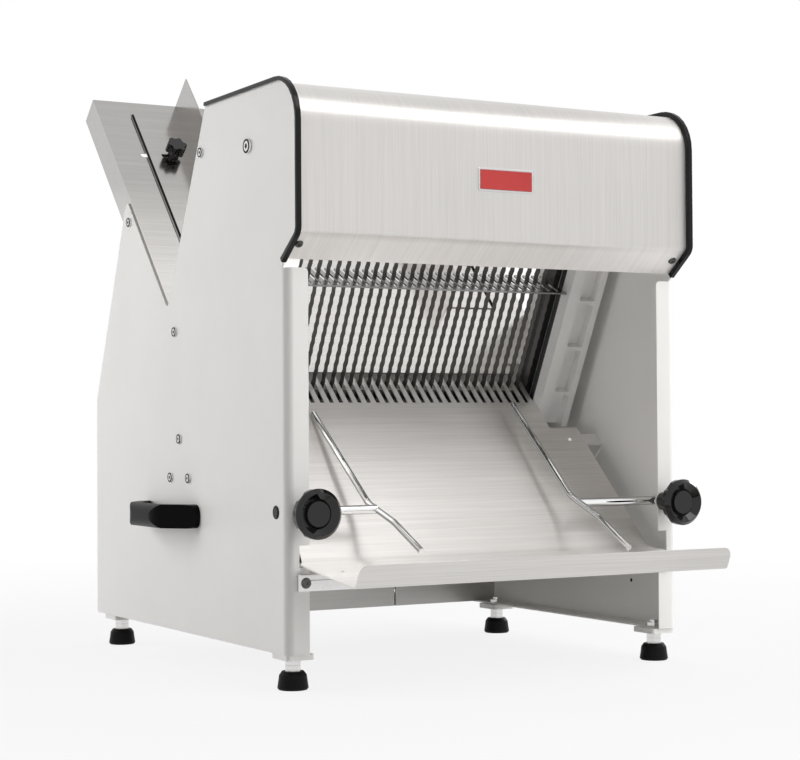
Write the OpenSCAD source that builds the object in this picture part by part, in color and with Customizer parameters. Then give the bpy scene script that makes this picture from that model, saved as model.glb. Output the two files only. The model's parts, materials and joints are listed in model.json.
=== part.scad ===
// Counter-top bread slicer: a row of reciprocating blades between an inclined
// infeed chute at the back and an outfeed chute with a tray at the front.
// X runs across the machine, the operator stands at -Y, and Z is up.

/* [Overall] */
// Space from the slicing throat to the side panels' outer faces
side_space = 70.5; // [68:0.5:90]
// Depth of the side panels, from the front flange to the back edge
panel_d = 567; // [555:1:600]
// Rise of the side panels' top edge above the blade row's reference point
hood_rise = 306.3; // [300:0.1:336]
// Height of the side panels' bottom edge above the table
foot_h = 39; // [36:0.5:48]
// Thickness of the painted panel sheet
sheet = 2; // [1.5:0.1:2.5]
// Thickness of the stainless sheet
skin = 1.5; // [1:0.1:2]

/* [Side panels] */
// Width of the turned-in flanges
flange_w = 27; // [25:0.5:32]
// Outer radius of the front bend
bend_r = 10; // [6:0.5:12]
// Height of the front flange's top end
flange_top_z = 454; // [446:1:456]
// Height where the back edge starts to lean forward
rear_kink_z = 319; // [290:1:340]
// Distance of the notch's right-hand edge behind the blades
notch_back = 133; // [125:1:140]
// Drop of the notch's edge below the chute floor
notch_drop = 6; // [4:0.5:8]
// Length along the chute from the blades to the arm's tip
arm_run = 334; // [320:1:345]
// Width of the arm's tip
arm_tip_w = 12; // [8:0.5:16]

/* [Hood] */
// Lower back end of the hood outline: depth behind the flange
hood_foot_y = 5; // [3:0.5:8]
// Lower back end of the hood outline: height
hood_foot_z = 460; // [458:1:466]
// Reach of the hood in front of the flange
hood_reach = 32; // [28:1:36]
// Height of the crease above the lower lip
crease_z = 489; // [485:1:500]
// Radius of the hood's upper front edge
hood_r = 52; // [45:1:60]
// Depth of the hood sheet below the panel's edge
hood_inset = 5; // [4.5:0.5:6]
// Width of the return at the hood's back edge
hood_return = 20; // [15:1:30]
// Wall of the rubber edge trim outside the panel
trim_out = 3; // [2:0.5:4]
// Wall of the rubber edge trim inside the panel
trim_in = 1.2; // [1:0.1:3]
// Thickness of the rubber edge trim over the panel's edge
trim_t = 1.5; // [1:0.1:3]
// Depth of the edge trim's outer wall
trim_leg = 12; // [8:0.5:13]

/* [Blades] */
// Number of blades
blade_count = 31; // [25:2:31]
// Distance between neighbouring blades
blade_pitch = 12.7; // [12:0.1:12.8]
// Thickness of a blade
blade_t = 0.6; // [0.5:0.05:0.8]
// Width of a blade
blade_w = 10.5; // [10:0.5:13]
// Length of one wave of the cutting edge
wave_l = 12.7; // [10:0.1:16]
// Depth of the waves
wave_h = 1.6; // [1:0.1:2]
// Forward lean of the blades from upright
lean = 26.5; // [25:0.1:28]
// Depth of the blade row's reference point behind the front flange
blade_y = 213; // [210:0.5:216]
// Height of the blade row's reference point
blade_z = 353.7; // [352:0.1:356]

/* [Blade frames] */
// Half stroke of the blade frames
throw = 10; // [8:0.5:10]
// Inner face of the beams, from the blade plane
beam_in = 8; // [7.5:0.1:9]
// Thickness of the beams and side bars
beam_t = 18; // [16:0.5:19]
// Height of the beams along the blades
beam_h = 16; // [14:0.5:18]
// Lower edge of the top beam, along the blades
top_beam_b = 250; // [240:1:255]
// Lower edge of the bottom beam, along the blades
low_beam_b = -58; // [-60:0.5:-57]
// Step from the rails' inner faces to the side bars
bar_step = 7; // [6:0.5:9]
// Width of the side bars
bar_w = 30; // [26:0.5:32]
// Running clearance of the frames in their rails
slide_gap = 0.4; // [0.3:0.05:0.6]
// Width of a blade holder
holder_w = 6; // [5:0.5:8]
// Diameter of a blade pin
blade_pin_d = 3; // [2.5:0.1:3.5]

/* [Guide rails] */
// Gap between the chute and the guide rails
rail_gap = 0.5; // [0.3:0.1:1]
// Wall thickness of the guide rails
rail_wall = 6; // [5:0.5:7]
// Thickness of the rails' outer webs
web_t = 12; // [8:0.5:14]
// Thickness of the rails' front posts
post_t = 17.6; // [15:0.2:24]
// Lower end of the guide rails, along the blades
rail_low_b = -60; // [-64:0.5:-50]
// Upper end of the guide rails, along the blades
rail_top_b = 285; // [280:1:290]
// Depth of the pockets in a post's front face
pocket_depth = 12; // [8:0.5:14]
// Distance between the ribs of a post
rib_pitch = 62.7; // [58:0.1:66]
// Lowest rib of a post, along the blades
low_rib_b = -13.3; // [-20:0.1:-8]
// Thickness of a post's ribs
rib_t = 4.5; // [3:0.5:6]

/* [Combs] */
// Width of the slots that the blades pass through
comb_slot = 5.5; // [4:0.1:7]
// Place of the upper comb along the blades
upper_comb_b = 120; // [110:1:130]
// Reach of the upper comb's fingers in front of the blades
upper_comb_reach = 38; // [36:0.5:42]
// Thickness of the combs
comb_t = 2; // [1.5:0.1:2.5]
// Reach of the upper comb's fingers behind the blades
upper_comb_back = 18; // [14:0.5:24]
// Length of the lower comb up the slope
lower_comb_l = 47; // [42:0.5:50]
// Foot of the lower comb, in front of the blades
comb_foot_out = 34.4; // [33:0.2:36]
// Foot of the lower comb, along the blades
comb_foot_b = -32; // [-33:0.2:-30]

/* [Outfeed] */
// Slope of the outfeed chute
out_slope = 44.1; // [43:0.1:46]
// Space between the tray and the panels' outer faces
tray_space = 20; // [18:0.5:24]
// Space between the chute and the panels' outer faces
chute_space = 29; // [27:0.5:34]
// Distance of the chute's edge inside the outermost blades
throat_step = 1; // [0.5:0.1:2]
// Depth where the chute narrows to pass the rails
narrow_y = 165; // [155:1:166]
// Reach of the tray in front of the flange
tray_reach = 117; // [100:1:130]
// Height of the tray's front corner
tray_front_z = 119; // [116:0.5:122]
// Fall of the tray towards the front
tray_tilt = 7.1; // [6.5:0.1:7.5]
// Height of the tray's front lip along its slope
lip_l = 26; // [18:0.5:34]
// Forward lean of the lip
lip_lean = 23; // [10:1:35]
// Radius of the bend between chute and tray
chute_bend_r = 26; // [15:1:40]

/* [Infeed] */
// Slope of the infeed chute
in_slope = 47.7; // [47:0.1:48.5]
// Where the chute floor meets the blade plane, along the blades
in_cross_b = -30; // [-32:0.5:-28]
// Length of the chute floor from the blade plane to its top edge
in_run = 533; // [500:1:560]
// Depth of the chute's side flanges
in_flange = 37; // [30:1:42]
// Gap between the floor's lower end and the blade plane
in_low_gap = 30; // [28:0.5:34]
// Position of the adjusting slots along the chute
slot_run = 424; // [400:1:450]
// Space between the loaf guides' walls and the panels' outer faces
guide_space = 122.5; // [115:0.5:140]
// Width of the loaf guides' base flange
guide_base_w = 73.5; // [65:0.5:78]
// Height of the loaf guides' walls
guide_h = 48; // [40:1:60]
// Lower end of the loaf guides along the chute
guide_low = 150; // [140:1:200]
// Travel of a loaf guide towards the middle
guide_travel_in = 60; // [40:1:65]
// Travel of a loaf guide towards its panel
guide_travel_out = 35; // [20:1:38]

/* [Slice holders] */
// Diameter of the clamped guide rods
rod_d = 10; // [8:0.5:11]
// Diameter of the bent wires
wire_d = 7; // [6:0.5:8]
// Depth of the rods behind the flange
rod_y = 25.5; // [24:0.5:28]
// Height of the rods
rod_z = 191; // [188:0.5:195]
// Length of a rod from the panel's outer face to its wire
rod_l = 123; // [110:0.5:140]
// Upward turn of the right wire about its rod
right_wire_turn = 4; // [0:0.5:6]
// Diameter of the clamp knobs
knob_d = 54; // [44:1:58]
// Distance of the clamp knobs from the panels' outer faces
knob_inset = 19; // [18:0.5:20]
// Reach of the clamp knobs in front of the flange
knob_reach = 43; // [36:0.5:48]
// Diameter of the clamp screws
screw_d = 8; // [6:0.5:9]

/* [Drive] */
// Place of the crankshaft behind the blade plane
crank_m = 17; // [15:0.5:19]
// Place of the crankshaft along the blades
crank_b = -138; // [-140:0.5:-137]
// Diameter of the crankshaft
shaft_d = 20; // [18:0.5:22]
// Radius of the crankshaft pulley
big_pulley_r = 54; // [48:1:56]
// Radius of the motor pulley
small_pulley_r = 25; // [22:1:28]
// Distance of the motor shaft from the panels' back edge
motor_in = 82; // [78:1:90]
// Height of the motor shaft
motor_z = 125; // [120:1:128]
// Radius of the motor's body
motor_r = 65; // [60:1:68]
// Middle plane of the belt
belt_x = 175; // [172:1:177]

/* [Handles and feet] */
// Length of a carrying handle
handle_l = 168; // [150:1:180]
// Stand-off of a carrying handle from the panel
handle_out = 42; // [38:1:50]
// Height of a carrying handle's grip
handle_h = 28; // [24:1:32]
// Thickness of a carrying handle's grip
handle_t = 13; // [11:0.5:14]
// Depth of the handles' middle behind the flange
handle_y = 313; // [300:1:330]
// Height of the handles' middle
handle_z = 178; // [170:1:190]
// Diameter of a rubber foot at the table
foot_d = 34; // [30:1:40]
// Distance of the feet from the panels' outer faces
foot_inset = 18; // [17:0.5:19]

/* [Hidden] */
$fn = 48;

throat_half_w = blade_pitch * (blade_count - 1) / 2 - throat_step;
half_w = throat_half_w + side_space;
rail_in = throat_half_w + rail_gap;
bar_in = rail_in + bar_step;
tray_half_w = half_w - tray_space;
chute_half_w = half_w - chute_space;
guide_wall_x = half_w - guide_space;
wire_x = half_w - rod_l;
motor_y = panel_d - motor_in;
inner_half = half_w - sheet;
eps = 0.01;
fit = 0.05;
seat_gap = 0.3;
hole_gap = 0.1;

// Directions in the side view, as [depth, height]
blade_pt = [blade_y, blade_z];
hood_top_z = blade_z + hood_rise;
up_blade = [-sin(lean), cos(lean)];
back_blade = [cos(lean), sin(lean)];
up_chute = [cos(in_slope), sin(in_slope)];
off_chute = [-sin(in_slope), cos(in_slope)];
down_out = [-cos(out_slope), -sin(out_slope)];
infeed_pt = blade_pt + up_blade * in_cross_b;
crank_pt = blade_pt + up_blade * crank_b + back_blade * crank_m;

// Depth of the part's middle, which becomes Y = 0
lip_top = [-tray_reach - lip_l * sin(lip_lean), tray_front_z + lip_l * cos(lip_lean)];
chute_back = infeed_pt + up_chute * in_run - off_chute * in_flange;
mid_y = (lip_top[0] - skin * cos(lip_lean) + chute_back[0]) / 2;

// Plane geometry helpers
function unit(v) = v / norm(v);
function left_of(v) = [-v[1], v[0]];
function turn_of(u, v) = atan2(cross(u, v), u * v);
function meet(p, u, q, v) = p + u * cross(q - p, v) / cross(u, v);
function reversed(list) = [for (i = [len(list) - 1:-1:0]) list[i]];
function arc(c, r, from, sweep, steps) =
    [for (i = [0:steps]) c + r * [cos(from + sweep * i / steps), sin(from + sweep * i / steps)]];

// Points of a rounded corner at p between a and b, moved d to the left
function corner(a, p, b, r, d) =
    let (u = unit(p - a), v = unit(b - p), t = turn_of(u, v), s = sign(t))
    let (c = p - u * r * tan(abs(t) / 2) + left_of(u) * s * r, w = -s * left_of(u))
    r == 0 ? [p] : arc(c, r - s * d, atan2(w[1], w[0]), t, 8);

// An open path with rounded corners, moved d to the left of its direction
function path(pts, radii, d) =
    [for (i = [0:len(pts) - 1]) each
        i == 0 ? [pts[0] + d * left_of(unit(pts[1] - pts[0]))]
        : i == len(pts) - 1 ? [pts[i] + d * left_of(unit(pts[i] - pts[i - 1]))]
        : corner(pts[i - 1], pts[i], pts[i + 1], radii[i], d)];

// A closed outline with rounded corners
function outline(pts, radii) =
    let (n = len(pts))
    [for (i = [0:n - 1]) each corner(pts[(i + n - 1) % n], pts[i], pts[(i + 1) % n], radii[i], 0)];

// A bent strip of sheet between two distances from its path
module strip(pts, radii, d0, d1)
    polygon(concat(path(pts, radii, d0), reversed(path(pts, radii, d1))));

module box(low, high) translate(low) cube(high - low);

// Side-view outline extruded across the machine, from x0 to x1
module across(x0, x1) translate([x0, 0, 0]) rotate([90, 0, 90]) linear_extrude(x1 - x0) children();

module row() translate([0, -mid_y, 0]) children();
module handed(right) mirror([right ? 1 : 0, 0, 0]) children();
module both() for (right = [false, true]) handed(right) children();
module at_blades() translate([0, blade_y, blade_z]) rotate([lean, 0, 0]) children();
module at_infeed() translate([0, infeed_pt[0], infeed_pt[1]]) rotate([in_slope, 0, 0]) children();
module bar_x(x0, x1, d) translate([x0, 0, 0]) rotate([0, 90, 0]) cylinder(d = d, h = x1 - x0);
module bar_y(y0, y1, d) translate([0, y1, 0]) rotate([90, 0, 0]) cylinder(d = d, h = y1 - y0);

// Hood and panel outlines in the side view
hood_foot = [hood_foot_y, hood_foot_z];
hood_crease = [-hood_reach, crease_z];
hood_front = [-hood_reach, hood_top_z];
notch_pt = blade_pt + back_blade * notch_back;
hood_back = meet([0, hood_top_z], [1, 0], notch_pt, up_blade);
hood_end = hood_back - up_blade * hood_return;
crease_r = 14;
return_r = 9;
hood_pts = [hood_foot, hood_crease, hood_front, hood_back, hood_end];
hood_radii = [0, crease_r, hood_r, return_r, 0];
trim_pts = [hood_foot, hood_crease, hood_front, hood_back];

floor_low_pt = infeed_pt - off_chute * notch_drop;
notch_floor = meet(floor_low_pt, up_chute, notch_pt, up_blade);
arm_in = floor_low_pt + up_chute * arm_run;
arm_out = arm_in - off_chute * arm_tip_w;
panel_pts = [
    [bend_r, foot_h], [panel_d, foot_h], [panel_d, rear_kink_z], arm_out, arm_in,
    notch_floor, hood_back, hood_front, hood_crease, hood_foot, [bend_r, flange_top_z]
];
panel_radii = [0, 5, 30, 4, 3, 5, 10, hood_r, crease_r, 2, 0];

// Screws through the side panels, as [depth, height]
screw_r = 2.5;
screw_head_r = 5;
screw_head_h = 2;
low_screw_run = 104;
low_screw_drop = 9;
high_screw_run = 311;
high_screw_drop = 19.5;
chute_screws = [
    infeed_pt + up_chute * low_screw_run - off_chute * low_screw_drop,
    infeed_pt + up_chute * high_screw_run - off_chute * high_screw_drop
];
bearing_pcd_r = 31;
bearing_angles = [90, 210, 330];
bearing_screws = [for (a = bearing_angles) crank_pt + bearing_pcd_r * [cos(a), sin(a)]];
hood_screw_in = 12;
hood_screw_run = 56;
hood_back_screw = hood_back - up_blade * hood_screw_run + back_blade * -hood_screw_in;
rail_bolt_b = 270;
rail_bolt = blade_pt + up_blade * rail_bolt_b;
rail_bolt_r = 3.5;
small_screws = concat(chute_screws, bearing_screws, [hood_back_screw]);
screw_l = 8;
rail_bolt_l = 16;

// Tray passing through the front flange
tray_dir = [-cos(tray_tilt), -sin(tray_tilt)];
tray_corner = [-tray_reach, tray_front_z];
comb_foot = blade_pt + up_blade * comb_foot_b - back_blade * comb_foot_out;
tray_bend = meet(tray_corner, tray_dir, comb_foot, down_out);
narrow_pt = meet([narrow_y, 0], [0, 1], comb_foot, down_out);
notch_low_z = meet([sheet, 0], [0, 1], tray_corner, tray_dir)[1] - skin / cos(tray_tilt) - seat_gap;
notch_h = 24;
notch_w = 12;
knob_x = half_w - knob_inset;

// Tie bar across the front flanges
tie_h = 18;
tie_t = 4;
tie_z = 116;
tie_half_w = half_w - 12;
tie_bolt_x = half_w - 21;
tie_bolt_r = 3;

// Feet: the right rear foot stands further forward than the left one
foot_front_y = 23;
foot_left_in = 42;
foot_right_in = 192;
foot_left_rear_y = panel_d - foot_left_in;
foot_right_rear_y = panel_d - foot_right_in;
stud_r = 5;
foot_x = half_w - foot_inset;
left_feet = [foot_front_y, foot_left_rear_y];
right_feet = [foot_front_y, foot_right_rear_y];

module side_panel(feet) {
    tab_w = flange_w - sheet;
    tab_d = -hood_inset - skin;
    tab_end = hood_crease - lip_dir * crease_r;
    flange_r = 5;
    translate([-half_w, 0, 0]) difference() {
        union() {
            across(0, sheet) polygon(outline(panel_pts, panel_radii));
            intersection() {
                translate([bend_r, bend_r, foot_h]) difference() {
                    cylinder(r = bend_r, h = flange_top_z - foot_h);
                    translate([0, 0, -1]) cylinder(r = bend_r - sheet, h = flange_top_z - foot_h + 2);
                }
                box([0, 0, 0], [bend_r, bend_r, hood_top_z]);
            }
            translate([0, sheet, 0]) rotate([90, 0, 0]) linear_extrude(sheet) polygon(outline(
                [[bend_r, foot_h], [flange_w, foot_h], [flange_w, flange_top_z], [bend_r, flange_top_z]],
                [0, 0, flange_r, 0]));
            box([sheet, bend_r, foot_h], [flange_w, panel_d, foot_h + sheet]);
            box([sheet, panel_d - sheet, foot_h + 5], [flange_w, panel_d, rear_kink_z - 20]);
            across(sheet, tab_w) strip([hood_foot, tab_end], [0, 0], tab_d, tab_d - sheet);
        }
        box([flange_w - notch_w, -1, notch_low_z], [flange_w + 1, sheet + 1, notch_low_z + notch_h]);
        translate([knob_inset, 0, rod_z]) bar_y(-1, sheet + 1, screw_d + 2 * hole_gap);
        translate([half_w - tie_bolt_x, 0, tie_z]) bar_y(-1, sheet + 1, 2 * tie_bolt_r + 2 * hole_gap);
        translate([0, rod_y, rod_z]) bar_x(-1, sheet + 1, rod_d + 4 * hole_gap);
        for (p = small_screws) translate([0, p[0], p[1]]) bar_x(-1, sheet + 1, 2 * screw_r + 2 * hole_gap);
        translate([0, rail_bolt[0], rail_bolt[1]]) bar_x(-1, sheet + 1, 2 * rail_bolt_r + 2 * hole_gap);
        for (y = feet) translate([foot_inset, y, foot_h - 1])
            cylinder(r = stud_r + hole_gap, h = sheet + 2);
        hood_screw_hole(half_w);
    }
}

module left_side_panel() color("gainsboro") row() side_panel(left_feet);
module right_side_panel() color("gainsboro") row() handed(true) difference() {
    spare_hole_y = 89;
    spare_hole_z = 90;
    side_panel(right_feet);
    translate([-half_w, spare_hole_y, spare_hole_z]) bar_x(-1, sheet + 1, 2 * screw_r);
}

// The hood's front lip is screwed to the panels' tabs
hood_screw_x = half_w - 11;
lip_mid = (hood_foot + hood_crease) / 2;
lip_dir = unit(hood_crease - hood_foot);
lip_angle = atan2(lip_dir[1], lip_dir[0]);
module at_lip(x) translate([x, lip_mid[0], lip_mid[1]]) rotate([lip_angle, 0, 0]) children();
module hood_screw_hole(shift) at_lip(shift - hood_screw_x)
    translate([0, 0, -2 * hood_inset]) cylinder(r = screw_r + hole_gap, h = 4 * hood_inset);

module hood() {
    color("silver") row() difference() {
        across(-inner_half, inner_half) strip(hood_pts, hood_radii, -hood_inset, -hood_inset - skin);
        both() handed(false) hood_screw_hole(0);
    }
}

// Screws seen on the hood's lower lip, heads outwards
module hood_screws() {
    color("dimgray") row() both() at_lip(-hood_screw_x) translate([0, 0, -hood_inset]) {
        translate([0, 0, -screw_l]) cylinder(r = screw_r, h = screw_l);
        screw_head();
    }
}

// Domed head with a hexagon socket, seated on z = 0
module screw_head(k = 1) {
    difference() {
        cylinder(r1 = screw_head_r * k, r2 = screw_head_r * k * 0.8, h = screw_head_h * k);
        translate([0, 0, screw_head_h * k / 2]) cylinder(r = screw_r * k * 0.6, h = screw_head_h * k, $fn = 6);
    }
}

module edge_trim() {
    hood_gap = 0.5;
    across(-half_w - trim_out, -inner_half + trim_in) strip(trim_pts, hood_radii, 0, trim_t);
    across(-half_w - trim_out, -half_w) strip(trim_pts, hood_radii, -trim_leg, 0);
    across(-inner_half, -inner_half + trim_in) strip(trim_pts, hood_radii, hood_gap - hood_inset, 0);
}

module left_edge_trim() color("#1a1a1a") row() edge_trim();
module right_edge_trim() color("#1a1a1a") row() handed(true) edge_trim();

module panel_screws() {
    color("lightgray") row() both() translate([-half_w, 0, 0]) {
        for (p = small_screws) translate([0, p[0], p[1]]) {
            bar_x(0, screw_l, 2 * screw_r);
            rotate([0, -90, 0]) screw_head();
        }
        translate([0, rail_bolt[0], rail_bolt[1]]) {
            bar_x(0, rail_bolt_l, 2 * rail_bolt_r);
            rotate([0, -90, 0]) screw_head(1.4);
        }
    }
}

// Outfeed chute, tray and lip bent from one sheet
out_pts = [narrow_pt, tray_bend, tray_corner, lip_top];
lip_bend_r = 4;
rivet_r = 2.2;
rivet_x = chute_half_w - 20;
rivet_run = 20;
rivet_pt = narrow_pt + down_out * rivet_run;

module outfeed_chute() {
    round_r = 12;
    flare_r = 30;
    flare_y = 8;
    flare_a = acos(1 - (tray_half_w - chute_half_w) / flare_r);
    flare_mid = [-chute_half_w - flare_r, flare_y + flare_r * sin(flare_a)];
    peg_in = 28;
    peg_y = -36;
    peg_d = 5;
    color("silver") row() difference() {
        union() {
            across(-throat_half_w, throat_half_w) strip([comb_foot, narrow_pt], [0, 0], 0, skin);
            across(-tray_half_w, tray_half_w) strip(out_pts, [0, chute_bend_r, lip_bend_r, 0], 0, skin);
        }
        both() {
            linear_extrude(blade_z) polygon(concat(
                arc(flare_mid, flare_r, 0, -flare_a, 8),
                [[-half_w, flare_y], [-half_w, blade_y], [-chute_half_w, blade_y]]));
            translate([peg_in - tray_half_w, peg_y, 0]) cylinder(d = peg_d, h = blade_z);
            translate([-tray_half_w, lip_top[0] - round_r, lip_top[1] - round_r]) difference() {
                box([-1, 0, 0], [round_r, 3 * round_r, round_r + 1]);
                translate([round_r, 0, 0]) bar_y(-1, 3 * round_r + 1, 2 * round_r);
            }
            at_rivet() translate([0, 0, -screw_l]) cylinder(r = rivet_r + hole_gap, h = 2 * screw_l);
        }
    }
}

module at_rivet() translate([-rivet_x, rivet_pt[0], rivet_pt[1]]) rotate([out_slope, 0, 0]) children();

// Brackets on the panels that carry the chute's side strips
module chute_brackets() {
    leg_h = 30;
    half_l = 9;
    out_x = inner_half - rivet_x;
    color("lightgray") row() both() at_rivet() difference() {
        union() {
            box([-out_x, -half_l, -skin - sheet], [rivet_r + 8, half_l, -skin]);
            box([-out_x, -half_l, -skin - leg_h], [-out_x + sheet, half_l, -skin]);
        }
        translate([0, 0, -screw_l]) cylinder(r = rivet_r + hole_gap, h = 2 * screw_l);
    }
}

module chute_rivets() {
    tail = skin + sheet;
    color("silver") row() both() at_rivet() {
        translate([0, 0, -tail]) cylinder(r = rivet_r, h = tail);
        cylinder(r1 = 2 * rivet_r, r2 = rivet_r, h = rivet_r);
        translate([0, 0, -tail - 1]) cylinder(r = 1.5 * rivet_r, h = 1);
    }
}

blade_xs = [for (i = [0:blade_count - 1]) (i - (blade_count - 1) / 2) * blade_pitch];
front_xs = [for (i = [0:2:blade_count - 1]) blade_xs[i]];
rear_xs = [for (i = [1:2:blade_count - 1]) blade_xs[i]];

// Lower comb: tapered fingers that carry on the chute's slope through the blades
module lower_comb() {
    root = 2;
    taper = 0.8;
    wide = comb_slot / 2 + taper;
    color("silver") row() translate([0, comb_foot[0], comb_foot[1]]) rotate([out_slope, 0, 0]) difference() {
        box([-throat_half_w, 0, -skin], [throat_half_w, lower_comb_l, 0]);
        for (x = blade_xs) translate([x, 0, -skin - 1]) linear_extrude(skin + 2) polygon([
            [-comb_slot / 2, root], [comb_slot / 2, root], [wide, lower_comb_l + 1], [-wide, lower_comb_l + 1]
        ]);
    }
}

// Upper comb: a front spine between the rails, with fingers back through the blades
module upper_comb() {
    spine_w = 5;
    slot_front = -upper_comb_reach + spine_w + comb_slot / 2;
    tip_r = (blade_pitch - comb_slot) / 2;
    color("silver") row() at_blades() translate([0, 0, upper_comb_b]) difference() {
        box([-rail_in, -upper_comb_reach, 0], [rail_in, upper_comb_back, comb_t]);
        for (x = blade_xs) {
            box([x - comb_slot / 2, slot_front, -1], [x + comb_slot / 2, upper_comb_back + 1, comb_t + 1]);
            translate([x, slot_front, -1]) cylinder(d = comb_slot, h = comb_t + 2);
        }
        for (i = [1:blade_count - 1]) translate([blade_xs[i] - blade_pitch / 2, upper_comb_back - tip_r, -1])
            linear_extrude(comb_t + 2) finger_tip(tip_r);
    }
}

// What is cut away to round one finger's tip
module finger_tip(r) difference() {
    translate([-r - eps, 0]) square([2 * r + 2 * eps, r + 1]);
    circle(r = r);
}

// Infeed chute: an inclined floor with turned-down sides and adjusting slots
in_narrow = 48;
in_floor_half = throat_half_w - 2;
slot_half = 4;
slot_x0 = guide_wall_x + guide_base_w / 2 + guide_travel_out + 6;
slot_x1 = guide_wall_x + guide_base_w / 2 - guide_travel_in - 6;
module infeed_chute() {
    lip_h = 15;
    flange_low = notch_back - 45;
    color("silver") row() difference() {
        at_infeed() difference() {
            union() {
                box([-inner_half, in_narrow, -skin], [inner_half, in_run, 0]);
                box([-in_floor_half, in_low_gap, -skin], [in_floor_half, in_narrow, 0]);
                both() box([-inner_half, flange_low, -in_flange], [-inner_half + skin, in_run, 0]);
                box([-inner_half, in_run - skin, -lip_h], [inner_half, in_run, 0]);
            }
            both() {
                box([-slot_x0, slot_run - slot_half, -skin - 1], [-slot_x1, slot_run + slot_half, 1]);
                for (x = [slot_x0, slot_x1]) translate([-x, slot_run, -skin - 1])
                    cylinder(r = slot_half, h = skin + 2);
            }
        }
        both() for (p = chute_screws) translate([0, p[0], p[1]])
            bar_x(-half_w - 1, -half_w + 12, 2 * screw_r + 2 * hole_gap);
    }
}

// Loaf guide: a base flange that slides on the chute floor and an upright wall
guide_stud_x = guide_wall_x + guide_base_w / 2;
guide_lift = 0.2;
guide_stud_r = 3;
module loaf_guide() {
    chamfer = 12;
    top_back = 14;
    slot_l = 16;
    at_infeed() difference() {
        union() {
            translate([0, 0, guide_lift]) linear_extrude(skin) polygon([
                [-guide_wall_x, guide_low], [-guide_wall_x, in_run - top_back],
                [-guide_wall_x - guide_base_w + chamfer, in_run - top_back],
                [-guide_wall_x - guide_base_w, in_run - top_back - chamfer],
                [-guide_wall_x - guide_base_w, guide_low]
            ]);
            box([-guide_wall_x - skin, guide_low, guide_lift], [-guide_wall_x, in_run, guide_h]);
        }
        translate([-guide_stud_x, slot_run, 0]) {
            cylinder(r = guide_stud_r + fit, h = 2 * skin + 1);
            box([-slot_l, -guide_stud_r + 0.5, 0], [0, guide_stud_r - 0.5, 2 * skin + 1]);
        }
    }
}

module left_loaf_guide() color("lightgray") row() loaf_guide();
module right_loaf_guide() color("lightgray") row() handed(true) loaf_guide();

// Star knob with the bolt that clamps a loaf guide through the chute's slot
module star_knob() {
    head_r = 13;
    head_h = 13;
    neck_h = 8;
    lobes = 6;
    scallop_r = 5.5;
    scallop_out = 2.5;
    base_z = guide_lift + skin + seat_gap;
    at_infeed() translate([-guide_stud_x, slot_run, 0]) {
        translate([0, 0, base_z]) cylinder(r1 = 8, r2 = 7, h = neck_h);
        translate([0, 0, base_z + neck_h]) difference() {
            cylinder(r = head_r, h = head_h);
            for (i = [0:lobes - 1]) rotate([0, 0, (i + 0.5) * 360 / lobes])
                translate([head_r + scallop_out, 0, -1]) cylinder(r = scallop_r, h = head_h + 2);
        }
        translate([0, 0, -skin - seat_gap - 5]) cylinder(r = guide_stud_r, h = skin + seat_gap + 6 + base_z);
        translate([0, 0, -skin - seat_gap - 5]) cylinder(r = 7, h = 5);
    }
}

module left_star_knob() color("#1c1c1c") row() star_knob();
module right_star_knob() color("#1c1c1c") row() handed(true) star_knob();

// Guide rail: a ribbed front post, and two tracks for the blade frames
track = beam_in + beam_t + slide_gap;
rib = beam_in - slide_gap;
web_in = bar_in + bar_w + slide_gap;
web_out = web_in + web_t;
rail_front = track + post_t;
rail_back = track + rail_wall;
pad_half = 16;
low_pad_b = 0;

module guide_rail() {
    rail_l = rail_top_b - rail_low_b;
    pocket_in = rail_in + 17;
    pocket_out = web_out - 8.4;
    ribs = floor((rail_top_b - low_rib_b) / rib_pitch);
    at_blades() difference() {
        union() {
            translate([0, 0, rail_low_b]) linear_extrude(rail_l) {
                translate([-web_out, -rail_front]) square([web_t, rail_front + rail_back]);
                translate([-web_out, -rail_front]) square([web_out - rail_in, post_t]);
                translate([-web_out, track]) square([web_out - bar_in, rail_wall]);
                translate([-web_out, -rib]) square([web_out - bar_in - bar_w / 3, 2 * rib]);
            }
            for (b = [low_pad_b, rail_bolt_b]) translate([-inner_half, 0, b])
                box([0, -pad_half, -pad_half], [inner_half - web_out + 1, pad_half, min(pad_half, rail_top_b - b)]);
        }
        for (i = [0:ribs]) {
            low = i == 0 ? rail_low_b - 1 : low_rib_b + (i - 1) * rib_pitch + rib_t / 2;
            high = min(low_rib_b + i * rib_pitch - rib_t / 2, rail_top_b - rail_wall);
            translate([0, pocket_depth - rail_front, 0]) rotate([90, 0, 0]) linear_extrude(pocket_depth + 1)
                pocket(pocket_in, pocket_out, low, high, i == 0 ? 0 : 4);
        }
        translate([-half_w, 0, rail_bolt_b])
            bar_x(-1, rail_bolt_l + 2, 2 * rail_bolt_r + 2 * hole_gap);
    }
}

// One round-cornered pocket of a post's front face
module pocket(x0, x1, low, high, low_r) polygon(outline(
    [[-x1, low], [-x0, low], [-x0, high], [-x1, high]], [low_r, low_r, 4, 4]));

module left_guide_rail() color("gainsboro") row() guide_rail();
module right_guide_rail() color("gainsboro") row() handed(true) guide_rail();

// Blade frames: side is -1 for the front frame and 1 for the rear one
beam_out = beam_in + beam_t;
frame_top_b = top_beam_b + beam_h;
bar_out = bar_in + bar_w;
holder_reach = blade_w / 2 + 1;
holder_l = 12;
top_pin_b = top_beam_b + holder_l / 2;
low_pin_b = low_beam_b + beam_h - holder_l / 2;
pin_gap = 0.05;

module across_plane(side, m0, m1, x0, x1, b0, b1)
    box([x0, min(side * m0, side * m1), b0], [x1, max(side * m0, side * m1), b1]);

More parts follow.
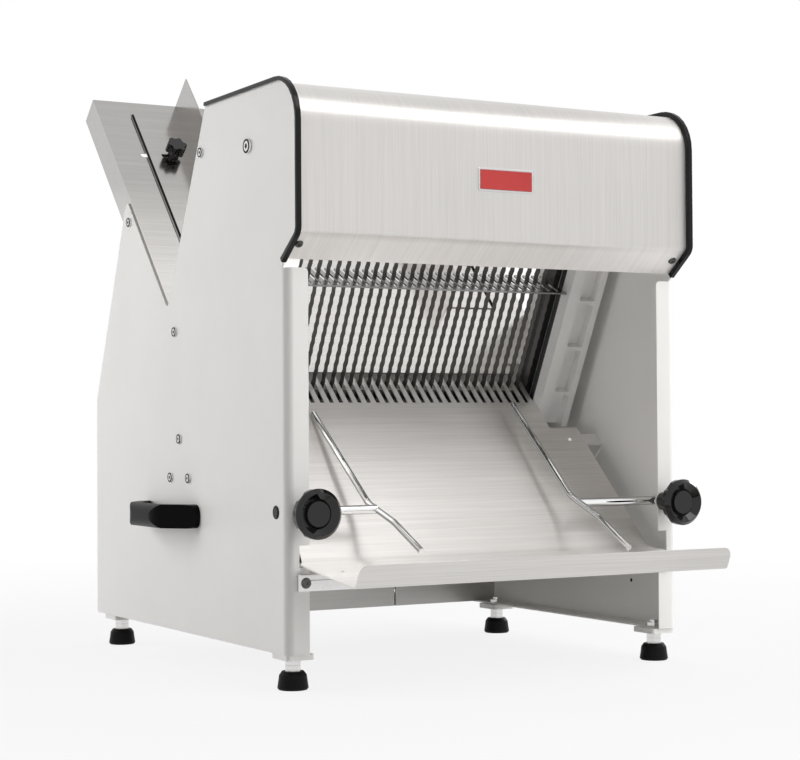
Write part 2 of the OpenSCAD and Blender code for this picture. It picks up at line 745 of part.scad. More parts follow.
module blade_frame(side) {
    low_b = low_beam_b;
    color("lightsteelblue") row() at_blades() difference() {
        union() {
            across_plane(side, beam_in, beam_out, -bar_out, bar_out, top_beam_b, frame_top_b);
            across_plane(side, beam_in, beam_out, -bar_out, bar_out, low_b, low_b + beam_h);
            both() across_plane(side, beam_in, beam_out, -bar_out, -bar_in, low_b, frame_top_b);
            both() frame_lug(side);
        }
        both() translate([0, wrist_m(side), wrist_b]) bar_x(-bar_in, 0, wrist_d + 2 * pin_gap);
    }
}

module front_blade_frame() blade_frame(-1);
module rear_blade_frame() blade_frame(1);

// Slotted holders on the beams, one at each end of a blade
module blade_holders(side, xs) {
    color("lightsteelblue") row() at_blades() for (x = xs, b = [top_pin_b, low_pin_b]) translate([x, 0, b])
        difference() {
            across_plane(side, -holder_reach, beam_in, -holder_w / 2, holder_w / 2, -holder_l / 2, holder_l / 2);
            across_plane(side, -holder_reach - 1, blade_w / 2 + fit, -blade_t / 2 - fit, blade_t / 2 + fit,
                         -holder_l, holder_l);
            bar_x(-holder_w, holder_w, blade_pin_d + 2 * pin_gap);
        }
}

module front_blade_holders() blade_holders(-1, front_xs);
module rear_blade_holders() blade_holders(1, rear_xs);

// Crank and connecting rods: the eccentrics lie level with the shaft at mid stroke
wrist_b = -92;
wrist_d = 10;
lug_t = 8;
rod_t = 12;
eye_r = 9;
sheave_r = throw + shaft_d / 2 + 2;
strap_wall = 7;
rod_gap = 0.5;
front_rod_x = 110;
rear_rod_x = 140;
function wrist_m(side) = crank_m + side * throw;
function rod_x(side) = side < 0 ? front_rod_x : rear_rod_x;

// Lug under a frame's bottom beam, beside the connecting rod's small end
module frame_lug(side) {
    x1 = -rod_x(side) - rod_t / 2 - rod_gap;
    x0 = x1 - lug_t;
    wrist = wrist_m(side);
    post_in = min(side * beam_in, side * beam_out);
    translate([0, 0, wrist_b]) {
        box([x0, min(post_in, wrist - eye_r), -eye_r], [x1, max(post_in + beam_t, wrist + eye_r), eye_r]);
        box([x0, post_in, 0], [x1, post_in + beam_t, low_beam_b - wrist_b + 1]);
    }
}

module connecting_rods(side) {
    shank_w = 12;
    strap_r = sheave_r + strap_wall;
    color("slategray") row() at_blades() both() translate([-rod_x(side) - rod_t / 2, wrist_m(side), 0]) difference() {
        union() {
            translate([0, 0, crank_b]) bar_x(0, rod_t, 2 * strap_r);
            translate([0, 0, wrist_b]) bar_x(0, rod_t, 2 * eye_r);
            box([0, -shank_w / 2, crank_b + sheave_r + 1], [rod_t, shank_w / 2, wrist_b]);
        }
        translate([0, 0, crank_b]) bar_x(-1, rod_t + 1, 2 * sheave_r + 2 * fit);
        translate([0, 0, wrist_b]) bar_x(-1, rod_t + 1, wrist_d + 2 * fit);
    }
}

module front_connecting_rods() connecting_rods(-1);
module rear_connecting_rods() connecting_rods(1);

// Wrist pins stay in the lugs and stop short of the rods
module wrist_pins(side) {
    x1 = -rod_x(side) - rod_t / 2 - rod_gap;
    color("silver") row() at_blades() both() translate([0, wrist_m(side), wrist_b]) {
        bar_x(x1 - lug_t, x1, wrist_d);
        bar_x(x1 - lug_t - 3, x1 - lug_t, wrist_d + 4);
    }
}

module front_wrist_pins() wrist_pins(-1);
module rear_wrist_pins() wrist_pins(1);

module blades(xs) {
    length = top_pin_b - low_pin_b + holder_l - 2;
    low = low_pin_b - holder_l / 2 + 1;
    waves = floor((top_beam_b - low_beam_b - beam_h - 8) / wave_l);
    start = (length - waves * wave_l) / 2;
    edge = [for (i = [0:2 * waves]) [blade_w / 2 - (i % 2) * wave_h, start + i * wave_l / 2]];
    back = [for (p = edge) [p[0] - blade_w + wave_h, p[1]]];
    ends = [[blade_w / 2, 0], [-blade_w / 2, 0], [-blade_w / 2, length], [blade_w / 2, length]];
    color("gray") row() at_blades() for (x = xs) translate([0, 0, low]) difference() {
        across(x - blade_t / 2, x + blade_t / 2)
            polygon(concat([ends[1], ends[0]], edge, [ends[3], ends[2]], reversed(back)));
        for (b = [low_pin_b, top_pin_b]) translate([x, 0, b - low])
            bar_x(-1, 1, blade_pin_d + 2 * pin_gap);
    }
}

module front_blades() blades(front_xs);
module rear_blades() blades(rear_xs);

module blade_pins(xs) {
    color("silver") row() at_blades() for (x = xs, b = [low_pin_b, top_pin_b])
        translate([x, 0, b]) bar_x(-holder_w / 2, holder_w / 2, blade_pin_d);
}

module front_blade_pins() blade_pins(front_xs);
module rear_blade_pins() blade_pins(rear_xs);

// Crankshaft with four eccentric sheaves
module crankshaft() {
    end_gap = 2;
    color("silver") row() at_blades() translate([0, crank_m, crank_b]) {
        bar_x(-inner_half + end_gap, inner_half - end_gap, shaft_d);
        for (side = [-1, 1]) both() translate([-rod_x(side) - rod_t / 2, side * throw, 0])
            bar_x(0, rod_t, 2 * sheave_r);
    }
}

// Three-bolt flange bearings on the panels' inner faces
bearing_l = 26;
bearing_flange_t = 10;
module crank_bearings() {
    hub_r = 24;
    color("slategray") row() both() translate([-inner_half, crank_pt[0], crank_pt[1]]) difference() {
        union() {
            bar_x(0, bearing_l, 2 * hub_r);
            bar_x(0, bearing_flange_t, 2 * bearing_pcd_r);
            for (a = bearing_angles) translate([0, bearing_pcd_r * cos(a), bearing_pcd_r * sin(a)])
                bar_x(0, bearing_flange_t, 20);
        }
        bar_x(-1, bearing_l + 1, shaft_d + 2 * fit);
        for (a = bearing_angles) translate([0, bearing_pcd_r * cos(a), bearing_pcd_r * sin(a)])
            bar_x(-1, bearing_flange_t + 1, 2 * screw_r + 2 * hole_gap);
    }
}

// Grooved pulleys and the belt that runs in them
pulley_w = 18;
belt_w = 10;
belt_h = 7;
groove_depth = 8;
belt_gap = 0.3;

module pulley(r, bore_r) rotate([0, 90, 0]) rotate_extrude() polygon([
    [bore_r, -pulley_w / 2], [r, -pulley_w / 2], [r, -belt_w / 2 - belt_gap],
    [r - groove_depth, -belt_w / 2 - belt_gap], [r - groove_depth, belt_w / 2 + belt_gap],
    [r, belt_w / 2 + belt_gap], [r, pulley_w / 2], [bore_r, pulley_w / 2]
]);

module crank_pulley() color("dimgray") row() translate([belt_x, crank_pt[0], crank_pt[1]])
    pulley(big_pulley_r, shaft_d / 2);

motor_shaft_r = 7;
motor_l = 205;
motor_front_x = belt_x - pulley_w / 2 - 20;
shaft_stick = 45;
shelf_top = foot_h + sheet + 3;

module motor_pulley() color("dimgray") row() translate([belt_x, motor_y, motor_z]) {
    pulley(small_pulley_r, motor_shaft_r);
    bar_x(-pulley_w / 2 - shaft_stick, pulley_w / 2, 2 * motor_shaft_r);
}

function belt_loop(d) =
    let (m = [motor_y, motor_z], v = m - crank_pt, a = atan2(v[1], v[0]))
    let (r1 = big_pulley_r - groove_depth + belt_gap, r2 = small_pulley_r - groove_depth + belt_gap)
    let (w = asin((r1 - r2) / norm(v)))
    concat(arc(crank_pt, r1 + d, a + 90 - w, 180 + 2 * w, 28), arc(m, r2 + d, a - 90 + w, 180 - 2 * w, 18));

module drive_belt() color("#202020") row() across(belt_x - belt_w / 2, belt_x + belt_w / 2) difference() {
    polygon(belt_loop(belt_h));
    polygon(belt_loop(0));
}

// Motor: body with end shields, feet and a terminal box
module motor() {
    shield_l = 22;
    foot_t = 8;
    foot_in = 40;
    stay_in = 50;
    lid_l = 80;
    lid_half = 35;
    lid_h = 22;
    back_x = motor_front_x - motor_l;
    color("dimgray") row() translate([0, motor_y, motor_z]) difference() {
        union() {
            bar_x(back_x + shield_l, motor_front_x - shield_l, 2 * motor_r);
            for (x = [back_x, motor_front_x - shield_l]) bar_x(x, x + shield_l, 2 * motor_r - 6);
            bar_x(motor_front_x - 1, motor_front_x + 6, 44);
            for (y = [-1, 1]) translate([0, y * motor_r * 0.6, 0]) box(
                [back_x + foot_in, -14, shelf_top - motor_z],
                [motor_front_x - foot_in, 14, shelf_top - motor_z + foot_t]);
            for (y = [-1, 1]) translate([0, y * motor_r * 0.45, 0]) box(
                [back_x + stay_in, -6, shelf_top - motor_z + 1], [motor_front_x - stay_in, 6, 0]);
            box([back_x + stay_in, -lid_half, 0], [back_x + stay_in + lid_l, lid_half, motor_r + lid_h]);
        }
        bar_x(motor_front_x - 40, motor_front_x + 7, 2 * motor_shaft_r + 2 * fit);
    }
}

// Shelf across the bottom flanges that carries the motor
module motor_shelf() {
    front_y = motor_y - 61;
    back_y = panel_d - 8;
    clear = 16;
    color("lightgray") row() difference() {
        box([-inner_half, front_y, foot_h + sheet], [inner_half, back_y, shelf_top]);
        translate([-foot_x, foot_left_rear_y, 0])
            box([-clear - foot_inset, -clear, 0], [clear, clear, shelf_top + 1]);
    }
}

// Slice holder: a rod clamped behind the flange, with a bent wire on its inner end
wire_top = [152, 107];
wire_bend = [18, 6];
wire_knee = [-40, -12.5];
wire_end = [-100, -41];
rod_out = 1;
wire_bend_r = 30;
bend_swell = 0.3;
bend_lap = 1;

// A straight piece of wire between two points of the side view
module wire_bar(p, q) {
    v = q - p;
    translate([p[0], p[1], 0]) rotate([0, 90, atan2(v[1], v[0])]) cylinder(d = wire_d, h = norm(v));
}

// The round bend of the wire at p, between a and b
module wire_arc(a, p, b) {
    u = unit(p - a);
    t = turn_of(u, b - p);
    c = p - u * bend_run(a, p, b) + left_of(u) * sign(t) * wire_bend_r;
    w = -sign(t) * left_of(u);
    translate([c[0], c[1], 0]) rotate([0, 0, atan2(w[1], w[0]) + min(t, 0)])
        rotate_extrude(angle = abs(t)) translate([wire_bend_r, 0]) circle(d = wire_d + bend_swell);
}

function bend_run(a, p, b) = wire_bend_r * tan(abs(turn_of(p - a, b - p)) / 2);

module guide_rod(turn) {
    run_a = bend_run(wire_top, wire_bend, wire_knee) - bend_lap;
    run_b = bend_run(wire_bend, wire_knee, wire_end) - bend_lap;
    mid = unit(wire_knee - wire_bend);
    translate([0, rod_y, rod_z]) {
        bar_x(-half_w - rod_out, -wire_x, rod_d);
        translate([-wire_x, 0, 0]) rotate([turn, 0, 0]) rotate([90, 0, 90]) {
            wire_bar(wire_top, wire_bend + run_a * unit(wire_top - wire_bend));
            wire_arc(wire_top, wire_bend, wire_knee);
            wire_bar(wire_bend + run_a * mid, wire_knee - run_b * mid);
            wire_arc(wire_bend, wire_knee, wire_end);
            wire_bar(wire_knee + run_b * unit(wire_end - wire_knee), wire_end);
        }
    }
}

module left_guide_rod() color("white") row() guide_rod(0);
module right_guide_rod() color("white") row() handed(true) guide_rod(right_wire_turn);

// Collars on the panels that carry the rods, and nuts behind the flanges for the clamp screws
module clamp_bushings() {
    collar_d = 14;
    collar_l = 12;
    nut_r = 8;
    nut_t = 6;
    color("gray") row() both() {
        translate([-inner_half, rod_y, rod_z]) difference() {
            bar_x(0, collar_l, collar_d);
            bar_x(-1, collar_l + 1, rod_d + 2 * fit);
        }
        translate([-knob_x, sheet, rod_z]) rotate([-90, 0, 0]) difference() {
            cylinder(r = nut_r, h = nut_t, $fn = 6);
            translate([0, 0, -1]) cylinder(d = screw_d + 2 * hole_gap, h = nut_t + 2);
        }
    }
}

// Lobed clamp knob with a dished face, on a screw that presses on the rod
module clamp_knob() {
    head_l = 16;
    dish_r = knob_d / 2 - 5;
    disc_r = 13.5;
    dish_depth = 6.5;
    lobes = 8;
    translate([-knob_x, 0, rod_z]) {
        difference() {
            rotate([90, 0, 0]) rotate_extrude() polygon([
                [0, knob_reach - head_l], [knob_d / 2 - 5, knob_reach - head_l], [knob_d / 2, knob_reach - head_l + 5],
                [knob_d / 2, knob_reach - 5], [knob_d / 2 - 4, knob_reach], [dish_r, knob_reach],
                [disc_r + 1, knob_reach - dish_depth],
                [disc_r, knob_reach - dish_depth + 2], [0, knob_reach - dish_depth + 2]
            ]);
            for (i = [0:lobes - 1]) rotate([0, i * 360 / lobes, 0]) translate([knob_d / 2 + 6, 0, 0])
                bar_y(-knob_reach + 6, -knob_reach + head_l + 1, 18);
        }
        bar_y(-knob_reach + head_l - 1, -seat_gap, 22);
        bar_y(-seat_gap - 1, rod_y - rod_d / 2 - seat_gap, screw_d);
    }
}

module left_clamp_knob() color("#1c1c1c") row() clamp_knob();
module right_clamp_knob() color("#1c1c1c") row() handed(true) clamp_knob();

// Bow handle: sloping legs and a grip with a rounded outer side and rounded ends
module handle() {
    crown = 1;
    leg_run = 36;
    drop = 12;
    in_h = handle_out - handle_t;
    slope = leg_run / in_h;
    foot_s = handle_l / 2 - handle_t * 1.2;
    pts = [
        [-foot_s - drop * slope, -drop], [-foot_s + leg_run, in_h],
        [foot_s - leg_run, in_h], [foot_s + drop * slope, -drop]
    ];
    translate([-half_w, handle_y, handle_z]) intersection() {
        translate([0, 0, -handle_h / 2]) rotate([0, 0, 90]) linear_extrude(handle_h)
            strip(pts, [0, 20, 20, 0], 0, handle_t);
        across(-handle_out - 1, 0) polygon(outline(
            [for (s = [[-1, -1], [1, -1], [1, 1], [-1, 1]]) [s[0] * handle_l / 2, s[1] * handle_h / 2]],
            [for (i = [0:3]) handle_h * 0.4]));
        translate([0, handle_l / 2 + 1, 0]) rotate([90, 0, 0]) linear_extrude(handle_l + 2) polygon(outline(
            [for (s = [[-handle_out, -1], [1, -1], [1, 1], [-handle_out, 1]]) [s[0], s[1] * (handle_h / 2 + crown)]],
            [handle_h * 0.45, 0, 0, handle_h * 0.45]));
    }
}

module left_handle() color("#161616") row() handle();
module right_handle() color("#161616") row() handed(true) handle();

// Flat bar across the front flanges
module front_tie_bar() {
    color("lightgray") row() difference() {
        box([-tie_half_w, -tie_t, tie_z - tie_h / 2], [tie_half_w, 0, tie_z + tie_h / 2]);
        both() translate([-tie_bolt_x, 0, tie_z]) bar_y(-tie_t - 1, 1, 2 * tie_bolt_r + 2 * hole_gap);
    }
}

module tie_bar_bolts() {
    nut_t = 5;
    color("dimgray") row() both() translate([-tie_bolt_x, 0, tie_z]) {
        bar_y(-tie_t, sheet + nut_t + 2, 2 * tie_bolt_r);
        translate([0, -tie_t, 0]) rotate([90, 0, 0]) screw_head(1.2);
        translate([0, sheet + nut_t, 0]) rotate([90, 0, 0]) cylinder(r = 5.8, h = nut_t, $fn = 6);
    }
}

// Low front wall of the motor space, in two sheets
lower_ahead = 80;
lower_y = motor_y - lower_ahead;
lower_top_z = 104;
lower_split_x = 100;
module lower_panel(x0, x1) {
    lip_w = 16;
    z0 = foot_h + sheet;
    box([x0, lower_y, z0], [x1, lower_y + skin, lower_top_z]);
    box([x0, lower_y, z0], [x1, lower_y + lip_w, z0 + skin]);
    box([x0, lower_y, lower_top_z - skin], [x1, lower_y + lip_w, lower_top_z]);
}

module left_lower_panel() color("silver") row() lower_panel(-inner_half, lower_split_x - 1);
module right_lower_panel() color("silver") row() lower_panel(lower_split_x + 1, inner_half);

// Rear cover between the side panels, with air slots for the motor
gland_in = 78;
gland_x = gland_in - inner_half;
gland_z = 90;
gland_r = 10;
module rear_cover() {
    edge_gap = 0.5;
    top_gap = 40;
    slots = 12;
    slot_pitch = 24;
    vent_l = 30;
    vent_z = 130;
    vent_step = 50;
    slope_dir = unit(arm_out - [panel_d, rear_kink_z]);
    pts = [[panel_d, foot_h + 8], [panel_d, rear_kink_z], arm_out - slope_dir * top_gap];
    color("gainsboro") row() difference() {
        across(-inner_half + edge_gap, inner_half - edge_gap) strip(pts, [0, 30, 0], sheet, sheet + skin);
        for (i = [0:slots - 1], z = [vent_z, vent_z + vent_step]) translate([(i - (slots - 1) / 2) * slot_pitch, panel_d, z]) {
            box([-slot_half, -4 * sheet, 0], [slot_half, 1, vent_l]);
            for (end = [0, vent_l]) translate([0, 0, end]) bar_y(-4 * sheet, 1, 2 * slot_half);
        }
        translate([gland_x, panel_d, gland_z]) bar_y(-4 * sheet, 1, 2 * gland_r + 2 * hole_gap);
    }
}

// Strain-relief gland where the supply lead would enter
module cable_gland() {
    face = panel_d - sheet;
    color("#222222") row() translate([gland_x, 0, gland_z]) difference() {
        union() {
            bar_y(face - skin - 10, face, 2 * gland_r);
            translate([0, face + 6, 0]) rotate([90, 0, 0]) cylinder(r = 14, h = 6, $fn = 6);
            translate([0, face + 6, 0]) rotate([-90, 0, 0]) cylinder(r1 = 11, r2 = 7, h = 14);
            translate([0, face - skin, 0]) rotate([90, 0, 0]) cylinder(r = 13, h = 5, $fn = 6);
        }
        bar_y(face - 30, face + 30, 8);
    }
}

// Push-button switch on the right panel's outer face
switch_y = 95;
switch_z = 330;
switch_h = 86;
switch_w = 46;
switch_out = 24;
button_r = 10;
button_pitch = 38;
button_travel = 3;
switch_wall = 3;

module at_switch() translate([half_w, switch_y, switch_z]) children();

module switch_housing() {
    side = switch_w / 2 - switch_wall;
    top = switch_h / 2 - switch_wall;
    color("#2a2a2a") row() at_switch() difference() {
        across(0, switch_out) polygon(outline(
            [for (s = [[-1, -1], [1, -1], [1, 1], [-1, 1]]) [s[0] * switch_w / 2, s[1] * switch_h / 2]], [6, 6, 6, 6]));
        box([switch_wall, -side, -top], [switch_out - switch_wall, side, top]);
        for (s = [-1, 1]) translate([0, 0, s * button_pitch / 2])
            bar_x(switch_out - switch_wall - 1, switch_out + 1, 2 * button_r + 2 * fit);
    }
}

// Button with a collar behind the housing's front wall
module push_button(s) at_switch() translate([0, 0, s * button_pitch / 2]) {
    collar_x = switch_out - switch_wall - seat_gap;
    bar_x(collar_x - 2, collar_x, 2 * button_r + 5);
    bar_x(collar_x - 10, switch_out + button_travel + 2, 2 * button_r);
}

module start_button() color("#1f7a3a") row() push_button(1);
module stop_button() color("#b3201f") row() push_button(-1);

// Levelling feet: a rubber foot on a stud, with nuts below a plate and above the flange
nut_h = 6.4;
nut_gap = 0.2;
plate_t = 6;
top_nut_h = 4;
rubber_h = foot_h - plate_t - 2 * nut_h - nut_gap;
stud_in = 10;
module at_feet() {
    for (y = left_feet) translate([-foot_x, y, 0]) children();
    for (y = right_feet) translate([foot_x, y, 0]) children();
}

module rubber_feet() color("#1a1a1a") row() at_feet() difference() {
    foot_r = foot_d / 2;
    rotate_extrude() polygon([
        [0, 0], [foot_r - 1.5, 0], [foot_r, 2], [foot_r - 2, rubber_h - 4], [foot_r - 5, rubber_h], [0, rubber_h]
    ]);
    translate([0, 0, rubber_h - stud_in]) cylinder(r = stud_r, h = stud_in + 1);
}

module foot_studs() color("silver") row() at_feet() translate([0, 0, rubber_h - stud_in])
    cylinder(r = stud_r, h = foot_h + sheet + top_nut_h + 3 - rubber_h + stud_in);

module foot_nuts() color("silver") row() at_feet() difference() {
    union() {
        translate([0, 0, rubber_h]) cylinder(r = 9.2, h = nut_h, $fn = 6);
        translate([0, 0, foot_h - plate_t - nut_h]) cylinder(r = 9.2, h = nut_h, $fn = 6);
        translate([0, 0, foot_h + sheet]) cylinder(r = 9.2, h = top_nut_h, $fn = 6);
    }
    translate([0, 0, rubber_h - 1]) cylinder(r = stud_r, h = foot_h);
}

// Plates between the bottom flanges and the feet
module foot_plates() {
    half_x = 16.5;
    half_y = 20;
    color("gainsboro") row() at_feet() translate([0, 0, foot_h - plate_t]) difference() {
        linear_extrude(plate_t) polygon(outline(
            [[-half_x, -half_y], [half_x, -half_y], [half_x, half_y], [-half_x, half_y]], [4, 4, 4, 4]));
        translate([0, 0, -1]) cylinder(r = stud_r + hole_gap, h = plate_t + 2);
    }
}

left_side_panel();
right_side_panel();
hood();
left_edge_trim();
right_edge_trim();
hood_screws();
panel_screws();
outfeed_chute();
lower_comb();
upper_comb();
infeed_chute();
left_guide_rail();
right_guide_rail();
front_blade_frame();
rear_blade_frame();
front_blade_holders();
rear_blade_holders();
front_blades();
rear_blades();
front_blade_pins();
rear_blade_pins();
front_connecting_rods();
rear_connecting_rods();
front_wrist_pins();
rear_wrist_pins();
crankshaft();
crank_bearings();
crank_pulley();
motor();
motor_shelf();
motor_pulley();
drive_belt();
left_guide_rod();
right_guide_rod();
clamp_bushings();
left_clamp_knob();
right_clamp_knob();
left_loaf_guide();
right_loaf_guide();
left_star_knob();
right_star_knob();
left_handle();
right_handle();
front_tie_bar();
tie_bar_bolts();
left_lower_panel();
right_lower_panel();
rear_cover();
cable_gland();
switch_housing();
start_button();
stop_button();
rubber_feet();
foot_studs();
foot_nuts();
foot_plates();
chute_brackets();
chute_rivets();
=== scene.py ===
import json
import math

import bmesh
import bpy
from mathutils import Matrix, Vector


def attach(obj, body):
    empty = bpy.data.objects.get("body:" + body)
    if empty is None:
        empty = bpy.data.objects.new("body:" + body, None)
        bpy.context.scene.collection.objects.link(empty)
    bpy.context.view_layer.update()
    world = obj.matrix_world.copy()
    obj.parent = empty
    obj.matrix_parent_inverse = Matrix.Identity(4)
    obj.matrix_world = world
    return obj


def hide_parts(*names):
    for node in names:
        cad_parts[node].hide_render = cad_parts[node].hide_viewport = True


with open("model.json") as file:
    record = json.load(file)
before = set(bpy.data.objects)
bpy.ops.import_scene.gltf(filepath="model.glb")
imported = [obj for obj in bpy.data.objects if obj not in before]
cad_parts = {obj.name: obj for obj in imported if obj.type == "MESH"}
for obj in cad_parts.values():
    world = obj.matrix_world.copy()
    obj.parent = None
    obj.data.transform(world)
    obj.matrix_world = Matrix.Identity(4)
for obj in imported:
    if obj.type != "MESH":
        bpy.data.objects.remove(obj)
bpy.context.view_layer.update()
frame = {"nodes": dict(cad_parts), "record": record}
nodes = frame["nodes"]
flangeY = -0.241964  # front flange of the side panels, in the row frame
panelFace = 0.26  # outer faces of the side panels, from the middle
print("frame loaded:", len(nodes), "nodes")


# Camera, worked out from the photograph's straight edges

photoCamera = {
    "place": (-1.1589, -1.8302 + flangeY, 0.2887), "yaw": 29.58, "pitch": 1.23, "roll": -0.35,
    "lens": 85.85, "sensor": 36, "clip": (0.05, 60),
}


def placeCamera(spec):
    yaw, pitch, roll = (math.radians(spec[k]) for k in ("yaw", "pitch", "roll"))
    ahead = Vector((math.sin(yaw) * math.cos(pitch), math.cos(yaw) * math.cos(pitch), math.sin(pitch)))
    right = Vector((math.cos(yaw), -math.sin(yaw), 0))
    up = right.cross(ahead)
    tilted = right * math.cos(roll) + up * math.sin(roll)
    upright = up * math.cos(roll) - right * math.sin(roll)
    data = bpy.data.cameras.new("photoCamera")
    data.lens, data.sensor_width = spec["lens"], spec["sensor"]
    data.clip_start, data.clip_end = spec["clip"]
    camera = bpy.data.objects.new("photoCamera", data)
    bpy.context.scene.collection.objects.link(camera)
    turn = Matrix((tilted, upright, -ahead)).transposed().to_4x4()
    camera.matrix_world = Matrix.Translation(spec["place"]) @ turn
    bpy.context.scene.camera = camera


placeCamera(photoCamera)


# Shader nodes

def feed(tree, socket, value):
    # links a socket, or sets it to a plain value
    if isinstance(value, bpy.types.NodeSocket):
        tree.links.new(value, socket)
    else:
        socket.default_value = value


def addNode(tree, kind, **values):
    # settings are named as the node's own properties, sockets by their labels
    node = tree.nodes.new(kind)
    for key, value in values.items():
        if hasattr(node, key):
            setattr(node, key, value)
        else:
            feed(tree, node.inputs[key], value)
    return node


def noise(tree, place, scale, detail, roughness=0.55):
    node = addNode(tree, "ShaderNodeTexNoise",
                   Vector=place, Scale=scale, Detail=detail, Roughness=roughness)
    return node.outputs["Fac"]


def ramp(tree, value, low, high, first=0.0, last=1.0):
    node = tree.nodes.new("ShaderNodeMapRange")
    labels = ("Value", "From Min", "From Max", "To Min", "To Max")
    for label, number in zip(labels, (value, low, high, first, last)):
        feed(tree, node.inputs[label], number)
    return node.outputs["Result"]


def mixColour(tree, mask, first, second):
    node = addNode(tree, "ShaderNodeMix", data_type="RGBA")
    for index, value in ((0, mask), (6, first), (7, second)):  # factor, then the two colour sockets
        feed(tree, node.inputs[index], value)
    return node.outputs[2]


def maths(tree, operation, first, second=0.0):
    node = addNode(tree, "ShaderNodeMath", operation=operation)
    for socket, value in zip(node.inputs, (first, second)):
        feed(tree, socket, value)
    return node.outputs[0]


def weigh(tree, first, second, share):
    part, rest = maths(tree, "MULTIPLY", first, share), maths(tree, "MULTIPLY", second, 1 - share)
    return maths(tree, "ADD", part, rest)


def splitPlace(tree, place):
    node = tree.nodes.new("ShaderNodeSeparateXYZ")
    tree.links.new(place, node.inputs[0])
    return node.outputs


def seenDirectly(tree):
    # rays from the camera, mirrored or passed through
    rays = tree.nodes.new("ShaderNodeLightPath").outputs
    shown = maths(tree, "MAXIMUM", rays["Is Camera Ray"], rays["Is Glossy Ray"])
    return maths(tree, "MAXIMUM", shown, rays["Is Transmission Ray"])


# Shared shader effects

def newGroup(name, inputs, outputs):
    group = bpy.data.node_groups.new(name, "ShaderNodeTree")
    for label, kind, default in inputs:
        socket = group.interface.new_socket(name=label, in_out="INPUT", socket_type="NodeSocket" + kind)
        if default is not None:
            socket.default_value = default
    for label, kind in outputs:
        group.interface.new_socket(name=label, in_out="OUTPUT", socket_type="NodeSocket" + kind)
    enter, leave = group.nodes.new("NodeGroupInput"), group.nodes.new("NodeGroupOutput")
    return group, enter.outputs, leave.inputs


def addGroup(tree, group, values):
    node = addNode(tree, "ShaderNodeGroup", node_tree=group)
    for label, value in values.items():
        feed(tree, node.inputs[label], value)
    return node


drawnLook = {  # fine, broad and smudge: scale, detail and roughness of the noise
    "fine": (1.0, 3.0, 0.6), "broad": (0.22, 2.0, 0.5), "smudge": (7.0, 3.0, 0.5),
    "fineShare": 0.6, "lineShare": 0.8, "toneRange": (0.34, 0.66), "roughRange": (0.3, 0.7),
}


def makeBrushGroup(spec):
    # fine drawn lines, long streaks and hand smudges on rolled sheet
    group, given, wanted = newGroup(
        "drawnSheet",
        [("Lines", "Vector", None), ("Place", "Vector", None),
         ("Light", "Color", (0.7, 0.7, 0.7, 1)), ("Dark", "Color", (0.5, 0.5, 0.5, 1)),
         ("Rough Low", "Float", 0.2), ("Rough High", "Float", 0.4)],
        [("Color", "Color"), ("Roughness", "Float"), ("Height", "Float")])
    fine = noise(group, given["Lines"], *spec["fine"])
    broad = noise(group, given["Lines"], *spec["broad"])
    smudge = noise(group, given["Place"], *spec["smudge"])
    tone = weigh(group, weigh(group, fine, broad, spec["fineShare"]), smudge, spec["lineShare"])
    shade = ramp(group, tone, *spec["toneRange"])
    feed(group, wanted["Color"], mixColour(group, shade, given["Dark"], given["Light"]))
    rough = ramp(group, tone, *spec["roughRange"], given["Rough Low"], given["Rough High"])
    feed(group, wanted["Roughness"], rough)
    feed(group, wanted["Height"], fine)
    return group


mottleLook = {  # cloud: scale, detail and roughness of the noise, skin: detail and roughness
    "cloud": (9.0, 5.0, 0.6), "skin": (2.0, 0.5),
    "lying": (0.35, 1.0), "toneRange": (0.3, 0.7), "roughRange": (0.25, 0.8),
}


def makeMottleGroup(spec):
    # cloudy tone, dust on upward faces and a fine skin for paint, plastic, rubber and castings
    group, given, wanted = newGroup(
        "mottledSkin",
        [("Place", "Vector", None), ("Grain", "Float", 900.0),
         ("Light", "Color", (0.8, 0.8, 0.8, 1)), ("Dark", "Color", (0.7, 0.7, 0.7, 1)),
         ("Dust", "Color", (0.6, 0.58, 0.54, 1)), ("Dusting", "Float", 0.1),
         ("Rough Low", "Float", 0.3), ("Rough High", "Float", 0.5)],
        [("Color", "Color"), ("Roughness", "Float"), ("Height", "Float")])
    cloud = noise(group, given["Place"], *spec["cloud"])
    skin = noise(group, given["Place"], given["Grain"], *spec["skin"])
    facing = group.nodes.new("ShaderNodeNewGeometry").outputs["Normal"]
    lying = ramp(group, splitPlace(group, facing)["Z"], *spec["lying"])
    film = maths(group, "MULTIPLY", maths(group, "MULTIPLY", lying, cloud), given["Dusting"])
    base = mixColour(group, ramp(group, cloud, *spec["toneRange"]), given["Dark"], given["Light"])
    feed(group, wanted["Color"], mixColour(group, film, base, given["Dust"]))
    rough = ramp(group, maths(group, "ADD", cloud, film), *spec["roughRange"],
                 given["Rough Low"], given["Rough High"])
    feed(group, wanted["Roughness"], rough)
    feed(group, wanted["Height"], skin)
    return group


def makeToneGroup():
    # a level that runs from First to Last as a value passes from Low to High, and a colour scaled by it
    group, given, wanted = newGroup(
        "toneAlong",
        [("Color", "Color", None), ("Value", "Float", 0.0), ("Low", "Float", 0.0), ("High", "Float", 1.0),
         ("First", "Float", 1.0), ("Last", "Float", 1.0)],
        [("Color", "Color"), ("Level", "Float")])
    level = ramp(group, given["Value"], given["Low"], given["High"], given["First"], given["Last"])
    scaled = addNode(group, "ShaderNodeVectorMath", operation="SCALE", Scale=level)
    feed(group, scaled.inputs[0], given["Color"])
    feed(group, wanted["Color"], scaled.outputs[0])
    feed(group, wanted["Level"], level)
    return group


drawnSheet = makeBrushGroup(drawnLook)
mottledSkin = makeMottleGroup(mottleLook)
toneAlong = makeToneGroup()
print("shader groups built")


# Materials

